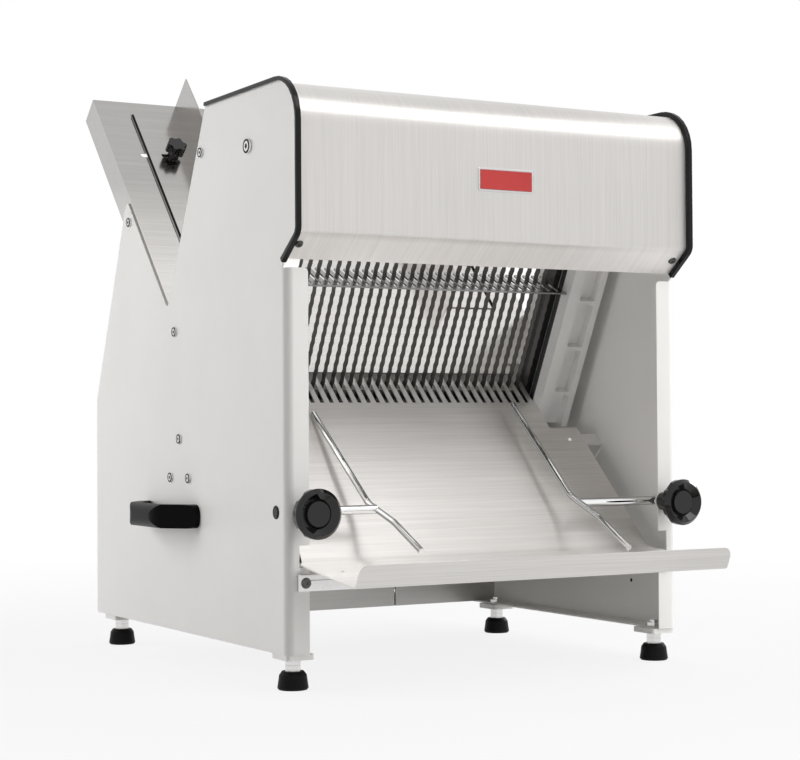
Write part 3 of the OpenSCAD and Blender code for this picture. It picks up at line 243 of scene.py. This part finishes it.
def startMaterial(name, constants):
    material = bpy.data.materials.new(name)
    material.use_nodes = True
    shader = material.node_tree.nodes["Principled BSDF"]
    for label, value in constants.items():
        shader.inputs[label].default_value = value
    return material, material.node_tree, shader


def joinEffect(tree, shader, effect, look):
    tree.links.new(effect.outputs["Color"], shader.inputs["Base Color"])
    tree.links.new(effect.outputs["Roughness"], shader.inputs["Roughness"])
    bump = addNode(tree, "ShaderNodeBump", Strength=look["bump"], Distance=look["depth"],
                   Height=effect.outputs["Height"])
    tree.links.new(bump.outputs["Normal"], shader.inputs["Normal"])


def grey(level, warm=0.0):
    return (level * (1 + warm), level, level * (1 - warm), 1)


def addTone(tree, where, tone, colour=None):
    # the source is an axis, the distance to either side, or how far a face turns away from view
    source, *limits = tone
    if source == "turned":
        value = tree.nodes.new("ShaderNodeLayerWeight").outputs["Facing"]
    elif source == "side":
        value = maths(tree, "ABSOLUTE", splitPlace(tree, where)["X"])
    else:
        value = splitPlace(tree, where)[source]
    values = {"Value": value, **dict(zip(("Low", "High", "First", "Last"), limits))}
    if colour is not None:
        values["Color"] = colour
    return addGroup(tree, toneAlong, values).outputs


sheetPlain = {"warm": 0.0, "depth": 0.00004, "bump": 0.12, "paintedLight": (), "satin": None, "spread": None}


def sheetMetal(name, look):
    look = sheetPlain | look
    material, tree, shader = startMaterial(name, {"Metallic": 1.0})
    where = tree.nodes.new("ShaderNodeTexCoord").outputs["Object"]
    stretch = addNode(tree, "ShaderNodeMapping", Vector=where, Scale=look["lines"])
    effect = addGroup(tree, drawnSheet, {
        "Lines": stretch.outputs["Vector"], "Place": where,
        "Light": grey(look["light"], look["warm"]), "Dark": grey(look["dark"], look["warm"]),
        "Rough Low": look["rough"][0], "Rough High": look["rough"][1]})
    joinEffect(tree, shader, effect, look)
    colour = effect.outputs["Color"]
    # painted light and shade: each entry scales the colour brighter or darker along an axis, across the
    # sides, or as a face turns from view
    for tone in look["paintedLight"]:
        colour = addTone(tree, where, tone, colour)["Color"]
    tree.links.new(colour, shader.inputs["Base Color"])
    if look["satin"]:  # less mirror-like in one band
        tree.links.new(addTone(tree, where, look["satin"])["Level"], shader.inputs["Metallic"])
    if look["spread"]:  # the drawn lines smear reflections across themselves
        axis, amount = look["spread"]
        across = addNode(tree, "ShaderNodeTangent", direction_type="RADIAL", axis=axis)
        tree.links.new(across.outputs["Tangent"], shader.inputs["Tangent"])
        shader.inputs["Anisotropic"].default_value = amount
    return material


skinPlain = {"metallic": 0.0, "shine": 0.5, "dusting": 0.1, "depth": 0.0001, "bump": 0.1}


def coatedSkin(name, look):
    look = skinPlain | look
    constants = {"Metallic": look["metallic"], "Specular IOR Level": look["shine"]}
    material, tree, shader = startMaterial(name, constants)
    effect = addGroup(tree, mottledSkin, {
        "Place": tree.nodes.new("ShaderNodeTexCoord").outputs["Object"], "Grain": look["grain"],
        "Light": look["light"], "Dark": look["dark"], "Dusting": look["dusting"],
        "Rough Low": look["rough"][0], "Rough High": look["rough"][1]})
    joinEffect(tree, shader, effect, look)
    return material


sheetLooks = {
    "hoodSteel": {"lines": (1400, 14, 14), "light": 0.76, "dark": 0.65, "rough": (0.36, 0.48), "warm": 0.03,
                  "depth": 0.00005, "bump": 0.15, "spread": ("Z", 0.8),
                  "paintedLight": [("Z", 0.484, 0.492, 1.25, 1.0)],  # painted reflection: the lip below the crease is painted brighter, for the bright floor it mirrors
                  "satin": ("Z", 0.484, 0.492, 0.35, 1.0)},
    "chuteSteel": {"lines": (9, 700, 700), "light": 0.88, "dark": 0.71, "rough": (0.4, 0.48), "warm": 0.03,
                   "depth": 0.0001, "bump": 0.3, "spread": ("X", 0.97),
                   "paintedLight": [("Y", -0.357, -0.355, 0.92, 1.0)]},  # painted shade: the lip's front face is painted darker
    "infeedSteel": {"lines": (9, 800, 800), "light": 0.48, "dark": 0.41, "rough": (0.12, 0.22),
                    "warm": 0.03, "bump": 0.1, "spread": ("X", 0.5),
                    "paintedLight": [("Z", 0.47, 0.6, 1.7, 1.0)]},  # painted light: the foot of the floor is painted brighter
    "combSteel": {"lines": (12, 900, 900), "light": 0.74, "dark": 0.58, "rough": (0.2, 0.34)},
    # painted shade: a darker copy of combSteel, given to the upper comb
    "combPaintedShade": {"lines": (12, 900, 900), "light": 0.34, "dark": 0.22,
                  "rough": (0.16, 0.3), "warm": 0.02},
    "screwZinc": {"lines": (260, 260, 260), "light": 0.8, "dark": 0.66,
                  "rough": (0.2, 0.36), "warm": 0.01},
    "lowerSteel": {"lines": (12, 900, 900), "light": 0.46, "dark": 0.38,
                   "rough": (0.3, 0.42), "warm": 0.03},
    "bladeSteel": {"lines": (900, 14, 14), "light": 0.1, "dark": 0.05,
                   "rough": (0.3, 0.45), "warm": 0.05},
    "brightBar": {"lines": (60, 700, 700), "light": 0.94, "dark": 0.86, "rough": (0.03, 0.08),
                  "paintedLight": [("turned", 0.42, 0.78, 1.0, 0.1),  # painted reflection: dark along both sides of a bar, standing in for the dark surroundings it mirrors
                            ("side", 0.2598, 0.2602, 1.0, 0.04)]},  # and painted shade on the ends outside the panels
    "zincPlate": {"lines": (260, 260, 260), "light": 0.8, "dark": 0.66,
                  "rough": (0.26, 0.42), "warm": 0.01},
    "darkScrew": {"lines": (300, 300, 300), "light": 0.12, "dark": 0.06,
                  "rough": (0.22, 0.4), "warm": 0.02},
}
skinLooks = {
    "castAlloy": {"grain": 700, "light": grey(0.66, 0.008), "dark": grey(0.54, 0.008),
                  "rough": (0.38, 0.55), "metallic": 0.8, "bump": 0.2},
    "panelPaint": {"grain": 420, "light": (0.84, 0.828, 0.806, 1), "dark": (0.805, 0.793, 0.77, 1),
                   "rough": (0.3, 0.36), "bump": 0.05, "dusting": 0.05},
    "railAlloy": {"grain": 700, "light": grey(0.88, 0.01), "dark": grey(0.8, 0.01), "rough": (0.35, 0.5),
                  "metallic": 0.25, "bump": 0.2},
    "castIron": {"grain": 600, "light": grey(0.05), "dark": grey(0.025), "rough": (0.45, 0.7), "bump": 0.3,
                 "shine": 0.3},
    "motorPaint": {"grain": 500, "light": (0.11, 0.12, 0.13, 1), "dark": (0.08, 0.085, 0.095, 1),
                   "rough": (0.35, 0.55), "bump": 0.2},
    "blackRubber": {"grain": 1200, "light": grey(0.008), "dark": grey(0.003), "rough": (0.35, 0.55),
                    "bump": 0.2, "dusting": 0.005, "shine": 0.1},
    "glossTrim": {"grain": 1200, "light": grey(0.008), "dark": grey(0.003), "rough": (0.14, 0.24),
                  "bump": 0.05, "dusting": 0.005, "shine": 0.2},
    "blackPlastic": {"grain": 1500, "light": grey(0.006), "dark": grey(0.002), "rough": (0.04, 0.1),
                     "bump": 0.03, "dusting": 0.003, "shine": 0.45},
    "gripPlastic": {"grain": 900, "light": grey(0.003), "dark": grey(0.001), "rough": (0.28, 0.4),
                    "bump": 0.12, "dusting": 0.003, "shine": 0.06},
    "greenPlastic": {"grain": 900, "light": (0.03, 0.36, 0.1, 1), "dark": (0.02, 0.28, 0.07, 1),
                     "rough": (0.2, 0.35)},
    "redPlastic": {"grain": 900, "light": (0.6, 0.03, 0.025, 1), "dark": (0.48, 0.02, 0.018, 1),
                   "rough": (0.2, 0.35)},
}
finishes = {name: sheetMetal(name, look) for name, look in sheetLooks.items()}
finishes.update({name: coatedSkin(name, look) for name, look in skinLooks.items()})
slotFinish = {
    "white_paint": "panelPaint", "stainless": "combSteel", "polished_stainless": "infeedSteel",
    "blade_steel": "bladeSteel", "zinc": "zincPlate", "bright_steel": "brightBar",
    "cast_aluminium": "castAlloy", "cast_iron": "castIron", "dark_motor": "motorPaint",
    "black_rubber": "blackRubber",
    "black_plastic": "blackPlastic", "green_plastic": "greenPlastic", "red_plastic": "redPlastic",
}
nodeFinish = {
    "hood": "hoodSteel", "hood_screws": "darkScrew", "panel_screws": "screwZinc",
    "tie_bar_bolts": "darkScrew", "outfeed_chute": "chuteSteel", "chute_brackets": "panelPaint",
    "lower_comb": "chuteSteel", "upper_comb": "combPaintedShade",
    "left_guide_rail": "railAlloy", "right_guide_rail": "railAlloy",
    "front_blade_frame": "castIron", "rear_blade_frame": "castIron", "front_blade_holders": "castIron",
    "rear_blade_holders": "castIron", "left_handle": "gripPlastic", "right_handle": "gripPlastic",
    "left_lower_panel": "lowerSteel", "right_lower_panel": "lowerSteel",
}


def dress(obj, finish):
    obj.data.materials.clear()
    obj.data.materials.append(finishes[finish])


for part in frame["record"]["subparts"]:
    dress(nodes[part["node"]], nodeFinish.get(part["node"], slotFinish[part["material_slot"]]))
print("finishes assigned")


# Smooth curves and rounded edges on the CAD solids

smoothing = {"merge": 0.00002, "crease": 30, "roundAbove": 28, "segments": 3}
edgeRounding = {
    "left_handle": 0.002, "right_handle": 0.002, "motor": 0.002, "rubber_feet": 0.0015,
    "left_clamp_knob": 0.0012, "right_clamp_knob": 0.0012,
    "left_star_knob": 0.0015, "right_star_knob": 0.0015,
    "switch_housing": 0.001, "start_button": 0.0012, "stop_button": 0.0012,
    "front_tie_bar": 0.0008, "cable_gland": 0.0006,
}


def makeSmoothGroup(spec):
    # joins the facets of a curve and leaves only true creases sharp
    group = bpy.data.node_groups.new("smoothCurves", "GeometryNodeTree")
    for way in ("INPUT", "OUTPUT"):
        group.interface.new_socket(name="Mesh", in_out=way, socket_type="NodeSocketGeometry")
    enter, leave = group.nodes.new("NodeGroupInput"), group.nodes.new("NodeGroupOutput")
    merge = addNode(group, "GeometryNodeMergeByDistance", Geometry=enter.outputs[0], Distance=spec["merge"])
    angle = group.nodes.new("GeometryNodeInputMeshEdgeAngle").outputs["Unsigned Angle"]
    crease = addNode(group, "FunctionNodeCompare", operation="GREATER_THAN")
    feed(group, crease.inputs[0], angle)
    feed(group, crease.inputs[1], math.radians(spec["crease"]))
    shade = addNode(group, "GeometryNodeSetMeshNormal", Mesh=merge.outputs[0])
    values = {"Remove Custom": True, "Face Sharpness": False, "Edge Sharpness": crease.outputs[0]}
    for label, value in values.items():
        feed(group, shade.inputs[label], value)
    feed(group, leave.inputs[0], shade.outputs[0])
    return group


smoothCurves = makeSmoothGroup(smoothing)


def softenEdges(obj, width=None):
    if width:
        weld = obj.modifiers.new("weld", "WELD")
        weld.merge_threshold = smoothing["merge"]
        edge = obj.modifiers.new("roundEdges", "BEVEL")
        edge.width, edge.segments = width, smoothing["segments"]
        edge.limit_method, edge.angle_limit = "ANGLE", math.radians(smoothing["roundAbove"])
    smooth = obj.modifiers.new("smoothCurves", "NODES")
    smooth.node_group = smoothCurves
    flat = obj.modifiers.new("keepFlatsFlat", "WEIGHTED_NORMAL")
    flat.keep_sharp = True


for name, obj in nodes.items():
    softenEdges(obj, edgeRounding.get(name))
print("curves smoothed, edges rounded")


# Pieces that only the scene has

def addPiece(name, build, finish, body="frame"):
    mesh = bpy.data.meshes.new(name)
    build.to_mesh(mesh)
    build.free()
    obj = bpy.data.objects.new(name, mesh)
    bpy.context.scene.collection.objects.link(obj)
    dress(obj, finish)
    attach(obj, body)
    return obj


def bodyOf(node):
    bodies = frame["record"]["behaviour"]["bodies"]
    return next(body for body, members in bodies.items() if node in members)


def pointsOf(node):
    return [v.co for v in nodes[node].data.vertices]


def middle(numbers):
    ordered = sorted(numbers)
    return (ordered[0] + ordered[-1]) / 2


def sideOf(x):
    return -1 if x < 0 else 1


def loftLoops(build, loops, capped=True):
    rings = [[build.verts.new(point) for point in loop] for loop in loops]
    count = len(rings[0])
    for lower, upper in zip(rings, rings[1:]):
        for i in range(count):
            build.faces.new((lower[i], lower[(i + 1) % count], upper[(i + 1) % count], upper[i]))
    if capped:
        build.faces.new(list(reversed(rings[0])))
        build.faces.new(rings[-1])
    bmesh.ops.recalc_face_normals(build, faces=build.faces)


def roundedRectangle(width, height, radius, steps=6):
    points = []
    for cornerX, cornerZ, start in ((1, 1, 0), (-1, 1, 90), (-1, -1, 180), (1, -1, 270)):
        for step in range(steps + 1):
            angle = math.radians(start + 90 * step / steps)
            points.append((cornerX * (width / 2 - radius) + radius * math.cos(angle),
                           cornerZ * (height / 2 - radius) + radius * math.sin(angle)))
    return points


def circleOnPanel(side, out, y, z, radius, count=28):
    angles = [2 * math.pi * i / count for i in range(count)]
    return [(side * out, y + radius * math.cos(a), z + radius * math.sin(a)) for a in angles]


edgeBead = {"trims": ("left_edge_trim", "right_edge_trim"), "lip": 0.0048, "wall": 0.0032, "round": 0.0011,
            "near": 0.0001, "digits": 5, "past": 1.5}


def makeEdgeBead(node, spec):
    # rubber edging that laps the panel's outer face less than its solid does
    def seenFromSide(vert):
        return round(vert.co.y, spec["digits"]), round(vert.co.z, spec["digits"])

    build = bmesh.new()
    build.from_mesh(nodes[node].data)
    bmesh.ops.remove_doubles(build, verts=build.verts, dist=smoothing["merge"])
    outer = max(abs(v.co.x) for v in build.verts)
    inner = min(abs(v.co.x) for v in build.verts)
    inside = {seenFromSide(v) for v in build.verts if abs(v.co.x) < inner + spec["near"]}
    rim = [v.co.copy() for v in build.verts
           if abs(v.co.x) > outer - spec["near"] and seenFromSide(v) in inside]
    for vert in build.verts:
        if abs(vert.co.x) > outer - spec["wall"]:
            seat = min(rim, key=lambda r: (r.yz - vert.co.yz).length)
            reach = vert.co.yz - seat.yz
            if reach.length > spec["past"] * spec["lip"]:
                vert.co.yz = seat.yz + reach.normalized() * spec["lip"]
    bead = addPiece(node.replace("edge_trim", "edge_bead"), build, "glossTrim")
    softenEdges(bead, spec["round"])
    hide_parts(node)


for trim in edgeBead["trims"]:
    makeEdgeBead(trim, edgeBead)

namePlate = {
    "x": 0.0033, "z": 0.5583, "face": flangeY - 0.027, "size": (0.0735, 0.0265),
    "pieces": {  # finish, then the inset, height and corner radius of each loop
        "namePlateSurround": ("combSteel", [
            (0, 0, 0.0022), (0, 0.00084, 0.0022), (0.00048, 0.0012, 0.00184),
            (0.00192, 0.0012, 0.00076), (0.0024, 0.00072, 0.00052)]),
        "namePlateField": ("redPlastic", [
            (0.0025, 0.000744, 0.0006), (0.0025, 0.00096, 0.0006), (0.0028, 0.00114, 0.0004)]),
    },
}


def makeNamePlate(spec):
    # a pressed metal surround with a plain red field
    width, height = spec["size"]

    def loop(inset, out, radius):
        flat = roundedRectangle(width - 2 * inset, height - 2 * inset, radius)
        return [(spec["x"] + x, spec["face"] - out, spec["z"] + z) for x, z in flat]

    for name, (finish, loops) in spec["pieces"].items():
        build = bmesh.new()
        loftLoops(build, [loop(*values) for values in loops])
        addPiece(name, build, finish)


makeNamePlate(namePlate)

shadeProfile = {"shoulder": 0.6, "chamfer": 0.0002}


# painted shade: a thin dark ring lying on a panel
def shadeRing(build, side, y, z, inner, outer, face, high):
    shoulder, chamfer = shadeProfile["shoulder"], shadeProfile["chamfer"]
    section = [(inner, 0.0), (outer, 0.0), (outer, high * shoulder), (outer - chamfer, high), (inner, high)]
    loops = [circleOnPanel(side, face + out, y, z, radius) for radius, out in section]
    loftLoops(build, loops, capped=False)


screwShading = {  # steps: each socket loop's depth and width, as shares
    "node": "panel_screws", "plainHead": 0.01, "ring": (0.0045, 0.0057), "high": 0.0008, "proud": 0.0002,
    "socket": 0.0026, "flats": 6, "steps": ((0.4, 1.0), (0.03, 1.0), (-0.02, 0.8)),
}


def loosePieces(node):
    # the corners of the box round each loose piece of a node
    build = bmesh.new()
    build.from_mesh(nodes[node].data)
    bmesh.ops.remove_doubles(build, verts=build.verts, dist=smoothing["merge"])
    left, boxes = set(build.verts), []
    while left:
        island, reached = set(), [left.pop()]
        while reached:
            vert = reached.pop()
            island.add(vert)
            joined = {link.other_vert(vert) for link in vert.link_edges} & left
            left -= joined
            reached.extend(joined)
        boxes.append([[pick(v.co[k] for v in island) for k in range(3)] for pick in (min, max)])
    build.free()
    return sorted(boxes)


def makeScrewShading(spec):
    # painted shade: dark rings round the heads of the panels' screws, and dark discs in their sockets
    rings, sockets = bmesh.new(), bmesh.new()
    for low, high in loosePieces(spec["node"]):
        side = sideOf(low[0])
        y, z = (low[1] + high[1]) / 2, (low[2] + high[2]) / 2
        scale = (high[2] - low[2]) / spec["plainHead"]
        top = max(abs(low[0]), abs(high[0]))
        inner, outer = (radius * scale for radius in spec["ring"])
        shadeRing(rings, side, y, z, inner, outer, top + spec["proud"] - spec["high"], spec["high"])
        head, socket = top - panelFace, spec["socket"] * scale
        loftLoops(sockets, [circleOnPanel(side, top - head * down, y, z, socket * share, spec["flats"])
                            for down, share in spec["steps"]])
    addPiece("screwShadeRings", rings, "blackRubber")
    addPiece("screwSocketShadows", sockets, "blackRubber")


makeScrewShading(screwShading)

rodShading = {"rods": ("left_guide_rod", "right_guide_rod"), "ring": (0.0055, 0.0074), "high": 0.0007,
            "near": 0.0005}


def makeRodShading(spec):
    # painted shade: dark rings round the holes where the slice holders' rods pass the side panels
    rings = bmesh.new()
    for node in spec["rods"]:
        tip = [point for point in pointsOf(node) if abs(point.x) > panelFace - spec["near"]]
        y, z = middle(point.y for point in tip), middle(point.z for point in tip)
        shadeRing(rings, sideOf(tip[0].x), y, z, *spec["ring"], panelFace, spec["high"])
    addPiece("rodShadeRings", rings, "blackRubber")


makeRodShading(rodShading)

spareHoleDisc = {"side": 1, "y": flangeY + 0.089, "z": 0.09, "radius": 0.00305, "out": (0.2584, 0.2594)}


def makeSpareHoleDisc(spec):
    # a dark disc set just inside the spare hole low on the right panel
    holeDisc = bmesh.new()
    side, y, z, radius = (spec[k] for k in ("side", "y", "z", "radius"))
    loftLoops(holeDisc, [circleOnPanel(side, out, y, z, radius) for out in spec["out"]])
    addPiece("spareHoleDarkDisc", holeDisc, "blackRubber")


makeSpareHoleDisc(spareHoleDisc)

guideBase = {"guides": ("left_loaf_guide", "right_loaf_guide"), "edgeNear": 0.0002, "endNear": 0.003}


def guideLine(node, spec):
    # the outer edge of a loaf guide's base, along its upper face
    points = pointsOf(node)
    outer = max(abs(p.x) for p in points)
    along = sorted((p for p in points if abs(p.x) > outer - spec["edgeNear"]), key=lambda p: p.z)
    slant = (along[-1] - along[0]).normalized()
    raised = Vector((0, -slant.z, slant.y))
    foot = max((p for p in along if p.z < along[0].z + spec["endNear"]), key=raised.dot)
    top = max((p for p in along if p.z > along[-1].z - spec["endNear"]), key=raised.dot)
    run = (top - foot).normalized()
    return {"outer": outer, "side": sideOf(foot.x), "foot": foot, "top": top, "run": run,
            "lift": Vector((0, -run.z, run.y))}


guideEdge = {
    "wide": 0.0024, "high": 0.0028, "sink": 0.0004, "ends": 0.003, "blunt": 0.85, "taper": 1.4,
    "profile": [(-0.5, 0), (0.5, 0), (0.5, 0.6), (0.32, 0.9), (0, 1), (-0.32, 0.9), (-0.5, 0.6)],
}


def makeGuideEdge(node, line, spec):
    # black edging along the outer edge of a loaf guide's base
    foot, top, run, lift = (line[k] for k in ("foot", "top", "run", "lift"))
    out = Vector((line["side"], 0, 0))
    middleX = line["side"] * (line["outer"] - spec["wide"] / 2)
    tip, full = run * spec["ends"], run * spec["ends"] * spec["taper"]
    build, loops = bmesh.new(), []
    for centre, scale in ((foot + tip, spec["blunt"]), (foot + full, 1.0),
                          (top - full, 1.0), (top - tip, spec["blunt"])):
        seat = Vector((middleX, centre.y, centre.z)) - lift * spec["sink"]
        loops.append([seat + out * u * spec["wide"] * scale + lift * w * spec["high"] * scale
                      for u, w in spec["profile"]])
    loftLoops(build, loops)
    addPiece(node + "_edging", build, "blackRubber", bodyOf(node))


guideSlotShade = {"reach": (0.0042, 0.0158), "half": 0.0024, "deep": (0.0001, 0.0005)}


def makeGuideSlotShade(node, line, spec):
    # painted shade: a dark sheet at the bottom of the slot in a loaf guide's base, beside the star knob's
    # bolt
    run, lift = line["run"], line["lift"]
    knob = pointsOf(node.replace("loaf_guide", "star_knob"))
    base = min(p.dot(lift) for p in pointsOf(node))
    boltX, boltRun = middle(p.x for p in knob), middle(p.dot(run) for p in knob)
    low, high = (base + deep for deep in spec["deep"])
    near, far = boltRun - spec["half"], boltRun + spec["half"]
    corners = [run * r + lift * h for r, h in ((near, low), (far, low), (far, high), (near, high))]
    build = bmesh.new()
    loftLoops(build, [[Vector((boltX + line["side"] * out, 0, 0)) + corner for corner in corners]
                      for out in spec["reach"]])
    addPiece(node + "_slot_shade", build, "blackRubber", bodyOf(node))


for guide in guideBase["guides"]:
    guideEdgeLine = guideLine(guide, guideBase)
    makeGuideEdge(guide, guideEdgeLine, guideEdge)
    makeGuideSlotShade(guide, guideEdgeLine, guideSlotShade)
print("scene pieces made")


# Studio

studio = {
    "floor": {"radius": 14, "sides": 96, "tone": 0.6, "mottle": (3.0, 3.0), "vary": 0.02, "rough": 0.9,
              "fade": (0.6, 1.8), "lift": 0.85},  # fades to white away from the part
    "world": {"plain": 0.26, "ceiling": (0.5, 0.9, 0.95),  # white round the horizon, dimmer overhead
              "flag": (-0.49, -0.87, 0.0),  # less plain light from the side where the camera stands
              "flagRange": (0.45, 0.95), "flagDim": 0.2},
    "lamps": [  # name, place, target, size, power, and whether it shows in reflections
        ("frontSoft", (2.1, -2.5, 0.8), (0.0, 0.0, 0.33), (3.6, 3.0), 100, False),
        ("keyLeft", (-2.5, 2.1, 1.3), (-0.1, 0.0, 0.35), (2.6, 2.4), 73, False),
        ("highFront", (0.7, -1.7, 2.4), (0.0, 0.0, 0.25), (1.8, 1.1), 17, True),
        ("overhead", (0.8, 0.1, 2.7), (0.0, 0.0, 0.3), (2.0, 2.0), 16, False),
        ("rimRight", (2.2, 0.8, 1.1), (0.0, -0.2, 0.25), (0.9, 0.9), 14, True),
        ("throatGlow", (0.0, -0.135, 0.64), (0.0, -0.134, 0.0), (0.4, 0.15), 0.2, True),
        ("throatFill", (-0.235, -0.12, 0.36), (0.25, -0.05, 0.34), (0.2, 0.2), 0.45, False),
    ],
}


def makeLamp(name, place, target, size, power, mirrored):
    data = bpy.data.lights.new(name, "AREA")
    data.shape, data.energy = "RECTANGLE", power
    data.size, data.size_y = size
    lamp = bpy.data.objects.new(name, data)
    lamp.location = place
    lamp.visible_camera, lamp.visible_glossy = False, mirrored
    lamp.rotation_euler = (Vector(target) - Vector(place)).to_track_quat("-Z", "Y").to_euler()
    bpy.context.scene.collection.objects.link(lamp)


def makeFloor(spec):
    mesh = bpy.data.meshes.new("paleFloor")
    build = bmesh.new()
    bmesh.ops.create_circle(build, cap_ends=True, radius=spec["radius"], segments=spec["sides"])
    build.to_mesh(mesh)
    build.free()
    floor = bpy.data.objects.new("paleFloor", mesh)
    bpy.context.scene.collection.objects.link(floor)
    material, tree, shader = startMaterial("paleFloor", {"Roughness": spec["rough"]})
    where = tree.nodes.new("ShaderNodeTexCoord").outputs["Object"]
    mottle = noise(tree, where, *spec["mottle"])
    tone = mixColour(tree, mottle, grey(spec["tone"]), grey(spec["tone"] + spec["vary"]))
    tree.links.new(tone, shader.inputs["Base Color"])
    away = addNode(tree, "ShaderNodeVectorMath", operation="LENGTH")
    feed(tree, away.inputs[0], where)
    fade = ramp(tree, away.outputs["Value"], *spec["fade"], spec["lift"])
    white = addNode(tree, "ShaderNodeEmission", Color=(1, 1, 1, 1), Strength=1.0)
    blend = tree.nodes.new("ShaderNodeMixShader")
    mask = maths(tree, "MULTIPLY", fade, seenDirectly(tree))
    for socket, value in zip(blend.inputs, (mask, shader.outputs[0], white.outputs[0])):
        feed(tree, socket, value)
    tree.links.new(blend.outputs[0], tree.nodes["Material Output"].inputs["Surface"])
    floor.data.materials.append(material)


def makeWorld(spec):
    world = bpy.data.worlds.new("studioWhite")
    bpy.context.scene.world = world
    world.use_nodes = True
    tree = world.node_tree
    back = tree.nodes["Background"]
    where = tree.nodes.new("ShaderNodeTexCoord").outputs["Generated"]
    low, high, dim = spec["ceiling"]
    sky = ramp(tree, splitPlace(tree, where)["Z"], low, high, 1.0, dim)
    facing = addNode(tree, "ShaderNodeVectorMath", operation="DOT_PRODUCT")
    feed(tree, facing.inputs[0], where)
    feed(tree, facing.inputs[1], spec["flag"])
    flagged = spec["plain"] * spec["flagDim"]
    plain = ramp(tree, facing.outputs["Value"], *spec["flagRange"], spec["plain"], flagged)
    feed(tree, back.inputs["Strength"], ramp(tree, seenDirectly(tree), 0, 1, plain, sky))
    back.inputs["Color"].default_value = (1, 1, 1, 1)


bpy.context.scene.view_settings.view_transform = "Standard"
makeFloor(studio["floor"])
makeWorld(studio["world"])
for lamp in studio["lamps"]:
    makeLamp(*lamp)
print("studio lit")
